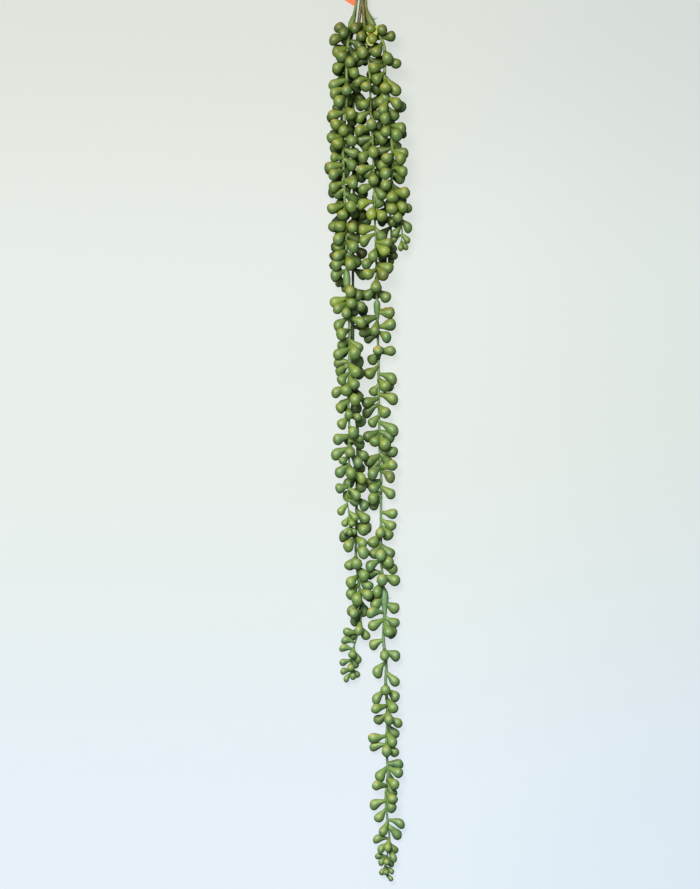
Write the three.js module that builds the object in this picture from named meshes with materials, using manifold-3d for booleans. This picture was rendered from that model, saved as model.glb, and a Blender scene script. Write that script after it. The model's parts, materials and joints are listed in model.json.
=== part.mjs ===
// A cut bunch of trailing burro's tail: six leafy stems that leave one short main stem and lie
// side by side on a flat surface, the three front ones on top of the three behind them.
// Millimetres. +Y runs from the stem tips to the cut end, +X is to the right and +Z is up.
// The origin is the middle of the bunch's footprint, on the surface that it lies on.
import * as THREE from 'three';
import { mergeVertices } from 'three/addons/utils/BufferGeometryUtils.js';
import Module from 'manifold-3d';

const wasm = await Module();
wasm.setup();

// Driving dimensions
const stemRadius = 1.6;         // bare stem, to its corners
const stemSides = 4;
const stemStep = 14.5;          // between two rings of a stem's tube
const curveSteps = 8;           // points of the smooth line for each point of its route
const leafLength = 17.2;        // from the stem's axis to the leaf's tip
const leafRadius = 5;           // at the fattest place of a full leaf
const sleeveRadius = 3.5;       // swelling where two lengths of stem join
const sleeveLength = 21;
const clearance = 0.45;         // kept between leaves of different stems
const bulbTouch = 0.93;         // share of two bulbs' radii that keeps them apart on one stem
const nearAlong = 12;           // along Y, beyond which two leaves can't touch
const stemBallStep = 2.5;
const floorBite = 1.3;          // how deep a resting leaf is cut flat
const ground = { width: 300, length: 1200, depth: 20 };
const seatGap = 0.3;            // round a stem in its socket, and over the tag
const socketDepth = 6;
const socketRun = 15.5;         // straight length of a stem at its socket
const socketRows = { front: 8.8, back: 4.1 };
const socketSides = 8;
const socketPitch = 4.8;
const overcut = 1;              // how far a socket's cutter stands out of the main stem
const crown = { x: -3.3, endY: 403, topY: 444, halfWidth: 7.9, flatness: 0.7, sides: 12 };
const tag = { width: 24, length: 38, thickness: 0.7, corner: 2, tilt: 57, x: -10, y: 387.5 };

// Outline of the main stem: share of its length, share of its half width
const crownOutline = [
  [0, 0], [0, 0.9], [0.09, 1], [0.26, 0.86], [0.46, 0.58], [1, 0.535], [1, 0]
];
// Rings of a leaf, from its root on the stem's axis: share of length, share of radius, corners
const leafRings = [[0, 0, 1], [0.36, 0.4, 3], [0.72, 1.04, 5], [0.975, 0.5, 3]];
const sleeveRings = [[0, 0.3, 6], [0.3, 0.9, 6], [0.58, 1, 6], [1, 0.3, 6]];
// Balls that stand for a leaf while room is sought for it: share of the length, of the radius
const leafBalls = [[0.24, 0.3], [0.4, 0.5], [0.58, 0.8], [0.74, 1], [0.9, 0.58]];
const bulbFrom = 0.5;           // share of a leaf's length
// Plans count rows down from a height of Y, a millimetre step for each
const rows = { topY: 394, step: 0.95 };
// Side of the stem that a leaf grows on, in degrees from straight up: its letter in a plan
const sides = { L: -88, l: -48, f: -22, F: 0, g: 22, r: 48, R: 88, p: -128, q: 128 };
const droopStep = 10;           // degrees towards the tip for each step in a plan
// Shares of the full length and radius of a plan's long, small and plain leaves
const builds = { b: [1.16, 1.06], s: [0.8, 0.8], plain: [1, 1] };
// Changes of turn and droop tried, in degrees, until a leaf has room
const turns = [0, 12, -12, 24, -24, 38, -38, 54, -54, 72, -72, 92, -92];
const extraDroops = [0, 12, -12, 24];
// How leaves differ: spread in degrees, or least share of the full size and spread
const vary = {
  turn: 12, droop: 8, length: [0.92, 0.16], radius: [0.92, 0.16], slimming: 1.15, tapering: 0.8
};

const colours = { leaf: 0x6f8a45, crown: 0x77703f, tag: 0xf0673c };
const roughness = { leaf: 0.5, crown: 0.7, tag: 0.6 };

// Each stem's socket, by column and row, and its route from there to its tip, read as x, y, z.
// Leaves get smaller over the last taper millimetres. Sleeves and plans are given by rows: a plan
// has the row of each joint of the stem, then its leaves, each as a side, its droop and its build.
const stems = [
  {
    name: 'stem_front_middle', socket: [0, 'front'], seed: 121,
    taper: 50, tipSize: 0.45, sleeves: [311, 600],
    route: [
      [-2.4, 372, 17], [1.6, 350, 25], [4.5, 322, 28.5], [5.5, 285, 28.5], [7.4, 258, 28.5],
      [8.4, 222, 28.5], [9.5, 183, 28.5], [10.6, 152, 27], [11.3, 118, 21], [11.6, 90, 13.5],
      [12.6, 62, 10], [13.2, 12, 8.7], [13.8, -26, 8.7], [15.2, -52, 8.7], [15.2, -98, 8.7],
      [15.8, -143, 8.7], [18.3, -172, 8.7], [18.6, -194, 8.7], [17.4, -210, 8.7],
      [20.3, -242, 8.7], [19.6, -253, 8.7], [21.5, -284, 8.7], [20.3, -317, 8.7],
      [22, -342, 8.7], [19.6, -363, 8.9], [21.4, -385, 8.2], [23.2, -402, 7.2],
      [20.9, -421, 5.6], [18.8, -432, 4.6], [21.5, -441, 3.8]
    ],
    plan: `
      24 l4, 27 r3, 32 f4, 39 g3, 50 f3, 53 L2 R-2, 58 q3, 79 L2, 80 f4, 98 l4, 111 L4, 119 F4, 130 L1,
      131 R5, 138 L1, 140 p4, 146 F4, 152 L4, 156 q5, 165 p5, 167 L2, 173 F4, 185 L2, 186 R5, 193 q5,
      202 L2, 207 f4, 208 q5, 209 R4, 228 L1 q5, 234 L4, 242 R1, 244 r3, 246 q5, 249 f4, 259 L3,
      263 R2, 267 r4, 269 L2, 277 F4, 279 q5, 287 L4 p5, 290 R4, 312 R0, 317 L2, 322 f4, 327 R-1b,
      332 r3, 333 L0, 336 p2, 352 R0, 354 p4, 359 F-4, 366 L4, 374 R2, 379 r4, 381 R3, 384 p5, 394 R2,
      398 L2, 404 L3, 406 r4, 416 L5, 422 R3, 431 L3 R4, 434 p4, 436 g4, 449 R1, 453 q5, 455 L3,
      460 p5, 467 l4, 468 R-1, 471 r4, 480 L1, 482 p3, 487 R4, 492 l4, 497 L5, 512 R1, 519 R3, 526 R5,
      528 F3, 533 L5, 544 L5, 545 R5, 551 F3, 556 q3, 561 L3, 565 R3, 573 L1, 575 F3, 576 R3, 582 l5,
      594 L5, 603 q3, 613 L1, 617 q3, 619 L3, 621 r5, 625 R5, 640 p3, 650 F3, 652 R3, 662 L5, 672 R5,
      685 F3, 690 L5 R5, 699 r5, 706 L1, 711 F5, 714 p3, 718 R3, 724 q5, 733 r5, 736 L1, 743 F5,
      744 R5, 745 p1, 764 q1, 767 L5, 768 R3, 771 p5, 779 r3, 781 q5, 786 L1, 792 R3, 799 r5, 801 p3,
      808 L5, 820 R3, 822 l5, 826 q5, 839 L1 F5, 842 q5, 843 l5, 848 r5b, 857 L1 l5 R5 F3,
      867 L5 l5 r5, 874 r5`
  },
  {
    name: 'stem_front_left', socket: [-1, 'front'], seed: 856,
    taper: 62, tipSize: 0.45, sleeves: [23, 279],
    route: [
      [-10.8, 379, 14], [-15.2, 361, 21.5], [-17.3, 337, 27], [-17.6, 299, 28.5],
      [-20.5, 264, 28.5], [-20.8, 245, 28.5], [-19.6, 215, 28.5], [-18, 174, 28.5],
      [-17.5, 139, 28.5], [-16.8, 112, 28.5], [-14.9, 80, 28.5], [-15.3, 38, 28],
      [-15.8, 12, 27.5], [-14.9, -13, 27], [-15.2, -41, 26.5], [-14.1, -62, 25.5],
      [-17.4, -79, 24], [-15.7, -90, 23], [-14.3, -106, 20.5], [-14.3, -114, 19]
    ],
    plan: `
      29 F4, 33 L-2, 38 L1, 41 R2, 48 L3, 52 l4, 62 L3, 66 r4, 80 L1, 83 F4, 87 R1, 89 L3, 96 l4,
      108 r4, 112 L2, 118 R2, 122 L2, 125 F4, 132 R4, 136 L1, 137 l4, 141 p4, 149 R2, 159 L-2 R4,
      165 L1, 171 L2, 180 R3, 183 L3, 189 p4, 193 R4, 205 L1 R2, 207 q4, 208 f4, 219 l4, 220 L3,
      225 r2, 232 l4, 234 R3, 241 r4, 242 L3, 251 l3, 253 R4b, 257 g4, 261 l3, 263 L2, 271 L3, 285 g4,
      292 R2, 296 g4, 298 L2, 303 L3 R2, 304 r4, 306 l4, 318 R3 L4, 330 l3, 331 L2, 338 p4, 340 R4,
      343 R5b, 349 L3, 358 q3, 362 L1, 364 r4, 366 p3, 373 L4, 376 r5, 383 g4, 387 L2, 393 r4, 400 p1,
      402 L3, 409 F4s, 416 R1s, 417 L4, 427 g4, 436 L2, 437 R1s, 441 R2, 443 F4, 448 L2, 453 R5,
      456 L2s, 464 L4, 466 F4, 473 R4, 486 L1, 488 R4, 500 R1, 504 L5, 511 R5, 517 L5 r5, 527 L5 R5 F5`
  },
  {
    name: 'stem_front_right', socket: [1, 'front'], seed: 672,
    taper: 45, tipSize: 0.45, sleeves: [20],
    route: [
      [3.6, 382, 13.5], [8.8, 369, 18.5], [15.2, 357, 23.5], [18.2, 350, 25.5], [19, 335, 27.5],
      [18.6, 320, 28.5], [21.2, 305, 28.5], [21, 291, 28.5], [24.6, 266, 28.5], [26.6, 237, 28],
      [24.8, 219, 27], [25.5, 210, 26], [29.5, 195, 22.5], [34.2, 184, 18.5], [35.2, 171, 15],
      [34.2, 162, 12.5]
    ],
    plan: `
      30 r3, 38 R1, 52 g4, 57 R4, 66 L1, 73 L4, 78 R4, 79 q5, 80 F4, 85 R4, 91 L5, 98 r4 R3, 100 L5,
      108 q5, 110 L2 f5, 118 q4, 124 L4, 126 R3, 130 f4, 134 R0, 143 q3, 148 L1, 151 r5 R2, 154 L2,
      160 l2, 161 q3, 167 R3, 171 L2, 174 q3, 182 l2, 184 q5, 187 f5, 193 R1, 197 q4, 200 r5, 201 L3,
      209 R1, 210 r3, 214 L3, 216 p5, 219 R5, 226 L4, 234 R5, 235 L4, 241 F5 R5`
  },
  {
    name: 'stem_back_left', socket: [0, 'back'], seed: 413,
    taper: 72, tipSize: 0.48, sleeves: [318],
    route: [
      [-5.6, 373, 6.5], [-8.6, 337, 9], [-11.2, 290, 9.1], [-11.3, 250, 9.1], [-10.6, 204, 9.1],
      [-11.4, 156, 9.1], [-11.5, 109, 9.1], [-11.8, 60, 9.1], [-10.5, 14, 9.1], [-7.6, -8, 9.1],
      [-7, -28, 9.1], [-7.8, -66, 9.1], [-8.1, -100, 9.1], [-8.6, -134, 9.1], [-6, -159, 9.1],
      [-3, -181, 9.1], [-4.3, -197, 9.4], [-7.8, -212, 8.4], [-11.9, -225, 7], [-13.8, -240, 5],
      [-12.8, -248, 4]
    ],
    plan: `
      45 F3, 59 R3, 66 l4, 74 F4, 80 L3, 88 R5, 99 R4, 112 F4, 120 l4, 128 R3, 141 R3, 150 L4, 159 R4,
      174 F3, 184 l4, 194 R4, 208 F4, 217 R2, 228 l4, 238 F4, 246 R4, 256 l3, 268 R3, 288 R3, 300 l4,
      305 R3, 327 q1, 345 l4, 368 R4, 380 F4, 388 R4, 397 R4, 405 R3, 418 R4, 432 F4, 450 R2, 458 R5,
      476 F4, 478 R5, 490 l4, 498 R4, 510 R5, 524 F3 R1, 536 L1, 537 q3, 538 l5, 549 R1, 556 L5,
      558 R1, 567 R5, 576 l3, 578 R3, 584 L5, 590 r3, 591 l5, 592 R3, 602 L5 R5, 612 L1, 613 p5,
      622 F5, 625 R5, 628 q5, 633 L1, 643 L1, 647 F5, 650 L1, 651 R5, 658 R5, 660 L3, 662 F3, 669 R5,
      670 r5, 671 L1, 673 F5`
  },
  {
    name: 'stem_back_right', socket: [1, 'back'], seed: 396,
    taper: 40, tipSize: 0.45, sleeves: [],
    route: [
      [3.2, 375, 6.5], [12, 337, 9], [14.3, 299, 9.1], [16.2, 261, 9.1], [19, 232, 9.1],
      [22.8, 204, 9.1], [24.6, 180, 9.2], [24.6, 166, 7.8], [22.8, 156, 6], [19.4, 146, 4.2]
    ],
    plan: `
      50 L4, 58 f3, 70 r4, 83 F4, 96 f4, 103 l3, 108 R3, 120 F4, 138 g4, 150 l4, 162 R3, 163 F4,
      175 R3, 184 r3, 190 L3, 198 R2, 207 F4 r3, 218 f4 r4, 227 L5, 231 F5, 240 g5, 247 r5, 254 R5,
      255 L5, 259 F5`
  },
  {
    name: 'stem_back_far_left', socket: [-1, 'back'], seed: 848,
    taper: 40, tipSize: 0.45, sleeves: [],
    route: [
      [-10.2, 373, 6.5], [-13.8, 352, 9], [-19, 318, 9.1], [-22.8, 270, 9.1], [-23, 223, 9.1],
      [-23.8, 175, 9.1], [-23.6, 148, 8.6], [-22.9, 132, 6], [-22.8, 122, 4.2]
    ],
    plan: `
      48 L2, 63 l4, 73 r4, 82 l4, 100 L3, 113 L3, 127 l4, 141 f4, 152 r4, 163 L3, 174 l4, 190 l4,
      193 F4, 207 r4, 214 L3, 226 f4, 234 r4, 241 F4, 250 L3, 257 l4, 268 l4, 276 F4, 279 l5, 283 r5`
  }
];

// A seeded draw between 0 and 1, the same on every machine
function drawsFrom(seed) {
  const factor = 1664525;
  const increment = 1013904223;
  const range = 2 ** 32;
  let state = seed;
  return function draw() {
    state = (state * factor + increment) % range;
    return state / range;
  };
}

// Points along a route with the distance walked to each of them
function walkAlong(points) {
  const walked = [0];
  for (let i = 1; i < points.length; i += 1) {
    walked.push(walked[i - 1] + points[i].distanceTo(points[i - 1]));
  }
  return { points, walked, length: walked[walked.length - 1] };
}

// The place on a walk and the direction of travel there
function placeAt(walk, distance) {
  let i = 1;
  while (i < walk.points.length - 1 && walk.walked[i] < distance) {
    i += 1;
  }
  const share = (distance - walk.walked[i - 1]) / (walk.walked[i] - walk.walked[i - 1]);
  const point = walk.points[i - 1].clone().lerp(walk.points[i], share);
  const ahead = walk.points[i].clone().sub(walk.points[i - 1]).normalize();
  return { point, ahead };
}

function socketPlace(stem) {
  const [column, row] = stem.socket;
  return new THREE.Vector3(crown.x + column * socketPitch, crown.endY, socketRows[row]);
}

// A stem's line: straight out of its socket, then smooth along its route, in even steps. Its tube
// and its leaves share this line.
function walkStem(stem) {
  const top = socketPlace(stem);
  top.y += socketDepth - seatGap;
  const out = top.clone();
  out.y -= socketRun;
  const points = [top, out, ...stem.route.map((point) => new THREE.Vector3(...point))];
  const curve = new THREE.CatmullRomCurve3(points);
  const fine = walkAlong(curve.getPoints((points.length - 1) * curveSteps));
  const steps = Math.round(fine.length / stemStep);
  const even = [];
  for (let i = 0; i <= steps; i += 1) {
    even.push(placeAt(fine, fine.length * i / steps).point);
  }
  return walkAlong(even);
}

// Direction of a leaf: turned about the stem from straight up, and drooping towards the tip
function leafDirection(ahead, turn, droop) {
  const right = new THREE.Vector3().crossVectors(new THREE.Vector3(0, 0, 1), ahead).normalize();
  const up = new THREE.Vector3().crossVectors(ahead, right).normalize();
  const around = THREE.MathUtils.degToRad(turn);
  const down = THREE.MathUtils.degToRad(droop);
  return up.multiplyScalar(Math.cos(around)).addScaledVector(right, Math.sin(around))
    .multiplyScalar(Math.cos(down)).addScaledVector(ahead, Math.sin(down));
}

function ballsOf(leaf) {
  return leafBalls.map(([along, wide]) => ({
    centre: leaf.point.clone().addScaledVector(leaf.direction, along * leaf.length),
    radius: wide * leaf.radius,
    bulb: along > bulbFrom,
    stem: leaf.stem
  }));
}

// A leaf has room when it clears the surface below, other stems and their leaves, and when its
// bulb leaves the bulbs of its own stem almost untouched
function hasRoom(balls, taken) {
  for (const ball of balls) {
    if (ball.centre.z - ball.radius < -floorBite) {
      return false;
    }
    for (const other of taken) {
      if (Math.abs(other.centre.y - ball.centre.y) > nearAlong) {
        continue;
      }
      const own = other.stem === ball.stem;
      if (own && !(other.bulb && ball.bulb)) {
        continue;
      }
      const reach = ball.radius + other.radius;
      const needed = own ? reach * bulbTouch : reach + clearance;
      if (ball.centre.distanceTo(other.centre) < needed) {
        return false;
      }
    }
  }
  return true;
}

// Leaves of one stem, by its plan, with a seeded draw for how each of them differs. What has no
// room is turned about the stem, and left out when no turn helps.
function growLeaves(stem, walk, taken) {
  const draw = drawsFrom(stem.seed);
  const leaves = [];
  for (const { row, side, droops, build } of readPlan(stem.plan)) {
    const place = placeAtRow(walk, row);
    const size = leafSize(stem, walk.length - place.distance);
    const turn = sides[side] + vary.turn * (draw() - 0.5);
    const droop = droops * droopStep + vary.droop * (draw() - 0.5);
    const [long, wide] = builds[build];
    const length = leafLength * size * long * drawn(vary.length, draw);
    const radius = leafRadius * size ** vary.slimming * wide * drawn(vary.radius, draw);
    const roll = 360 * draw();
    const leaf = findRoom({ ...place, turn, droop, length, radius, roll, stem: stem.name }, taken);
    if (leaf) {
      leaves.push(leaf);
      taken.push(...ballsOf(leaf));
    }
  }
  return leaves;
}

function readPlan(plan) {
  return plan.split(',').flatMap((entry) => {
    const [row, ...codes] = entry.trim().split(/\s+/);
    return codes.map((code) => ({
      row: Number(row),
      side: code[0],
      droops: parseInt(code.slice(1), 10),
      build: code.at(-1) in builds ? code.at(-1) : 'plain'
    }));
  });
}

// The place where a stem passes a row, with the distance walked to it
function placeAtRow(walk, row) {
  const y = rows.topY - rows.step * row;
  let i = 1;
  while (i < walk.points.length - 1 && walk.points[i].y > y) {
    i += 1;
  }
  const above = walk.points[i - 1].y;
  const share = Math.min(1, (above - y) / (above - walk.points[i].y));
  const distance = walk.walked[i - 1] + share * (walk.walked[i] - walk.walked[i - 1]);
  return { distance, ...placeAt(walk, distance) };
}

function drawn([least, spread], draw) {
  return least + spread * draw();
}

// Share of full size, by the distance left to the stem's tip
function leafSize(stem, left) {
  return stem.tipSize + (1 - stem.tipSize) * Math.min(1, left / stem.taper) ** vary.tapering;
}

function findRoom(wanted, taken) {
  for (const extra of extraDroops) {
    for (const turn of turns) {
      const direction = leafDirection(wanted.ahead, wanted.turn + turn, wanted.droop + extra);
      const leaf = { ...wanted, direction };
      if (hasRoom(ballsOf(leaf), taken)) {
        return leaf;
      }
    }
  }
  return null;
}

function stemBalls(stem, walk) {
  const balls = [];
  for (let distance = 0; distance < walk.length; distance += stemBallStep) {
    const centre = placeAt(walk, distance).point;
    balls.push({ centre, radius: stemRadius, bulb: false, stem: stem.name });
  }
  return balls;
}

// A closed geometry as a solid that can be joined and cut
function solidOf(geometry) {
  geometry.deleteAttribute('normal');
  geometry.deleteAttribute('uv');
  const merged = mergeVertices(geometry, 1e-4);
  return new wasm.Manifold(new wasm.Mesh({
    numProp: 3,
    vertProperties: new Float32Array(merged.attributes.position.array),
    triVerts: new Uint32Array(merged.index.array)
  }));
}

// A closed skin over rings round +Y, each read as height, radius and number of corners
function ringGeometry(rings) {
  const corners = [];
  const faces = [];
  let below = null;
  for (const [height, radius, count] of rings) {
    const ring = { first: corners.length / 3, count };
    for (let i = 0; i < count; i += 1) {
      const angle = 2 * Math.PI * i / count;
      corners.push(radius * Math.sin(angle), height, radius * Math.cos(angle));
    }
    if (below) {
      faces.push(...facesBetween(below, ring));
    }
    below = ring;
  }
  const top = below;
  for (let i = 1; i < rings[0][2] - 1; i += 1) {
    faces.push(0, i + 1, i);
  }
  for (let i = 1; i < top.count - 1; i += 1) {
    faces.push(top.first, top.first + i, top.first + i + 1);
  }
  const geometry = new THREE.BufferGeometry();
  geometry.setAttribute('position', new THREE.Float32BufferAttribute(corners, 3));
  geometry.setIndex(faces);
  return geometry;
}

// Triangles between two rings that may have different numbers of corners
function facesBetween(below, above) {
  const faces = [];
  let low = 0;
  let high = 0;
  while (low < below.count || high < above.count) {
    const lowCorner = below.first + low % below.count;
    const highCorner = above.first + high % above.count;
    if ((low + 1) / below.count <= (high + 1) / above.count) {
      low += 1;
      if (below.count > 1) {
        faces.push(lowCorner, below.first + low % below.count, highCorner);
      }
    } else {
      high += 1;
      if (above.count > 1) {
        faces.push(lowCorner, above.first + high % above.count, highCorner);
      }
    }
  }
  return faces;
}

// Rings from the origin along +Y, laid from a point along a direction
function ringSolid(rings, point, direction, roll) {
  const geometry = ringGeometry(rings);
  const rolled = new THREE.Quaternion().setFromAxisAngle(new THREE.Vector3(0, 1, 0), roll);
  const turned = new THREE.Quaternion().setFromUnitVectors(new THREE.Vector3(0, 1, 0), direction);
  geometry.applyQuaternion(turned.multiply(rolled));
  geometry.translate(point.x, point.y, point.z);
  return solidOf(geometry);
}

function scaledRings(rings, length, radius) {
  return rings.map(([along, wide, corners]) => [along * length, wide * radius, corners]);
}

function leafSolid(leaf) {
  const rings = scaledRings(leafRings, leaf.length, leaf.radius);
  return ringSolid(rings, leaf.point, leaf.direction, THREE.MathUtils.degToRad(leaf.roll));
}

function sleeveSolid({ point, ahead }) {
  const start = point.addScaledVector(ahead, -sleeveLength / 2);
  return ringSolid(scaledRings(sleeveRings, sleeveLength, sleeveRadius), start, ahead, 0);
}

function circle(radius, sides) {
  const corners = [];
  for (let i = 0; i < sides; i += 1) {
    const angle = 2 * Math.PI * (i + 0.5) / sides;
    corners.push(new THREE.Vector2(radius * Math.cos(angle), radius * Math.sin(angle)));
  }
  return new THREE.Shape(corners);
}

function tubeSolid(walk) {
  const path = new THREE.CurvePath();
  for (let i = 1; i < walk.points.length; i += 1) {
    path.add(new THREE.LineCurve3(walk.points[i - 1], walk.points[i]));
  }
  return solidOf(new THREE.ExtrudeGeometry(circle(stemRadius, stemSides), {
    steps: walk.points.length - 1, bevelEnabled: false, extrudePath: path
  }));
}

// What lies under the surface that the bunch rests on, cut off each stem's leaves
function groundSolid() {
  const block = new THREE.BoxGeometry(ground.width, ground.length, ground.depth);
  block.translate(0, 0, -ground.depth / 2);
  return solidOf(block);
}

function meshOf(name, solid, colour, rough) {
  const { vertProperties, triVerts } = solid.getMesh();
  const geometry = new THREE.BufferGeometry();
  geometry.setAttribute('position', new THREE.BufferAttribute(vertProperties, 3));
  geometry.setIndex(new THREE.BufferAttribute(triVerts, 1));
  const material = new THREE.MeshStandardMaterial({ color: colour, roughness: rough, metalness: 0 });
  const mesh = new THREE.Mesh(geometry, material);
  mesh.name = name;
  return mesh;
}

function makeStem(stem, walk, leaves, underneath) {
  const pieces = [tubeSolid(walk), ...leaves.map(leafSolid)];
  for (const row of stem.sleeves) {
    pieces.push(sleeveSolid(placeAtRow(walk, row)));
  }
  const solid = wasm.Manifold.union(pieces).subtract(underneath);
  return meshOf(stem.name, solid, colours.leaf, roughness.leaf);
}

// Short main stem with a swollen end, and a plain socket there for each leafy stem
function makeCrown() {
  const height = crown.topY - crown.endY;
  const outline = crownOutline.map(
    ([along, wide]) => new THREE.Vector2(wide * crown.halfWidth, along * height)
  );
  const body = new THREE.LatheGeometry(outline, crown.sides);
  body.scale(1, 1, crown.flatness);
  const middleZ = tag.thickness + seatGap + crown.halfWidth * crown.flatness;
  body.translate(crown.x, crown.endY, middleZ);
  let solid = solidOf(body);
  for (const stem of stems) {
    const mouth = socketPlace(stem);
    const socketRadius = (stemRadius + seatGap) / Math.cos(Math.PI / socketSides);
    const hole = new THREE.ExtrudeGeometry(circle(socketRadius, socketSides), {
      depth: socketDepth + overcut, bevelEnabled: false
    });
    hole.rotateX(-Math.PI / 2);
    hole.translate(mouth.x, mouth.y - overcut, mouth.z);
    solid = solid.subtract(solidOf(hole));
  }
  return meshOf('main_stem', solid, colours.crown, roughness.crown);
}

// Blank card tag that lies under the stems, one corner towards the tips
function makeTag() {
  const { width, length, corner } = tag;
  const card = new THREE.Shape();
  card.moveTo(corner, 0);
  card.lineTo(length - corner, 0);
  card.absarc(length - corner, corner, corner, -Math.PI / 2, 0);
  card.absarc(length - corner, width - corner, corner, 0, Math.PI / 2);
  card.absarc(corner, width - corner, corner, Math.PI / 2, Math.PI);
  card.absarc(corner, corner, corner, Math.PI, Math.PI * 1.5);
  const geometry = new THREE.ExtrudeGeometry(card, {
    depth: tag.thickness, bevelEnabled: false, curveSegments: 3
  });
  geometry.rotateZ(THREE.MathUtils.degToRad(tag.tilt));
  geometry.translate(tag.x, tag.y, 0);
  return meshOf('tag', solidOf(geometry), colours.tag, roughness.tag);
}

const bunch = new THREE.Group();
const walks = stems.map(walkStem);
const underneath = groundSolid();
const taken = stems.flatMap((stem, i) => stemBalls(stem, walks[i]));
stems.forEach((stem, i) => {
  const leaves = growLeaves(stem, walks[i], taken);
  bunch.add(makeStem(stem, walks[i], leaves, underneath));
});
bunch.add(makeCrown());
bunch.add(makeTag());

export default bunch;
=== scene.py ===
# A cut bunch of trailing burro's tail, laid on a plain pale floor and seen from straight above.
# Routes are in millimetres and leaf plans in rows, as on the solids. Meshes are in metres.
import json
import math

import bpy
from mathutils import Matrix, Vector, noise

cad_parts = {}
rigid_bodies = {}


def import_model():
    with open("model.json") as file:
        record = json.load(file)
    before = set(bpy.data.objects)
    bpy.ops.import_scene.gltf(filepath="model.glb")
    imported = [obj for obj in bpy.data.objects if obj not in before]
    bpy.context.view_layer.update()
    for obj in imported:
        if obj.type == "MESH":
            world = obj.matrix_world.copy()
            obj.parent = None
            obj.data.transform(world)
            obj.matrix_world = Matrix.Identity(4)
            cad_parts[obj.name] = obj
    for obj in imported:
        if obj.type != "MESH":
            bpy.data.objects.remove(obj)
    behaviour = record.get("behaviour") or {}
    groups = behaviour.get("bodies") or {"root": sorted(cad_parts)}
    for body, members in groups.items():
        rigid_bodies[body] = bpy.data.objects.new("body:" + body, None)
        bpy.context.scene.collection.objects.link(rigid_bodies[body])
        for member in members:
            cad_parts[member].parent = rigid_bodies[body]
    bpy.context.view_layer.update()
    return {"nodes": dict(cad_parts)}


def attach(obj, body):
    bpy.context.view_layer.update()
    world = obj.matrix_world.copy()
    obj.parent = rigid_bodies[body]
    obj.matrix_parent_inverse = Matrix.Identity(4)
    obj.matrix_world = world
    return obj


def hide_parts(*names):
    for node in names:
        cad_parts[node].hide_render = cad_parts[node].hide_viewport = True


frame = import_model()
mm = 0.001
print("frame loaded:", len(frame["nodes"]), "nodes")

# Rows count down from topY and columns to the right from middleX, one for each step in millimetres
rowRule = {"topY": 394, "middleX": 365, "step": 0.95}
leafRule = {
    "length": 17.2, "radius": 5, "droopStep": 10, "slimming": 1.15, "tapering": 0.8,
    "turnSpread": 12, "droopSpread": 8, "lengths": (0.92, 0.16), "radii": (0.92, 0.16),
    "sides": {"L": -88, "l": -48, "f": -22, "F": 0, "g": 22, "r": 48, "R": 88, "p": -128, "q": 128},
    "builds": {"b": (1.16, 1.06), "s": (0.8, 0.8), "plain": (1, 1)},
    "bulbAt": 0.74,  # where along a leaf its bulb is
    "moreSeed": 3, "kindSeed": 7,  # added to the stem's seed for its deep leaves and its leaf kinds
}
roomRule = {
    "clearance": 0.45, "bulbTouch": 0.93, "nearAlong": 12, "stemBallStep": 2.5, "stemRadius": 1.6,
    "floorBite": 1.3, "bulbFrom": 0.5,
    "balls": ((0.24, 0.3), (0.4, 0.5), (0.58, 0.8), (0.74, 1), (0.9, 0.58)),  # along, wide
    "turns": (0, 12, -12, 24, -24, 38, -38, 54, -54, 72, -72, 92, -92),
    "droops": (0, 12, -12, 24),
}
lineRule = {"step": 14.5, "curveSteps": 8, "socketDepth": 5.7, "socketRun": 15.5}
socketPlan = {"x": -3.3, "y": 403, "pitch": 4.8, "front": 8.8, "back": 4.1}

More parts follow.
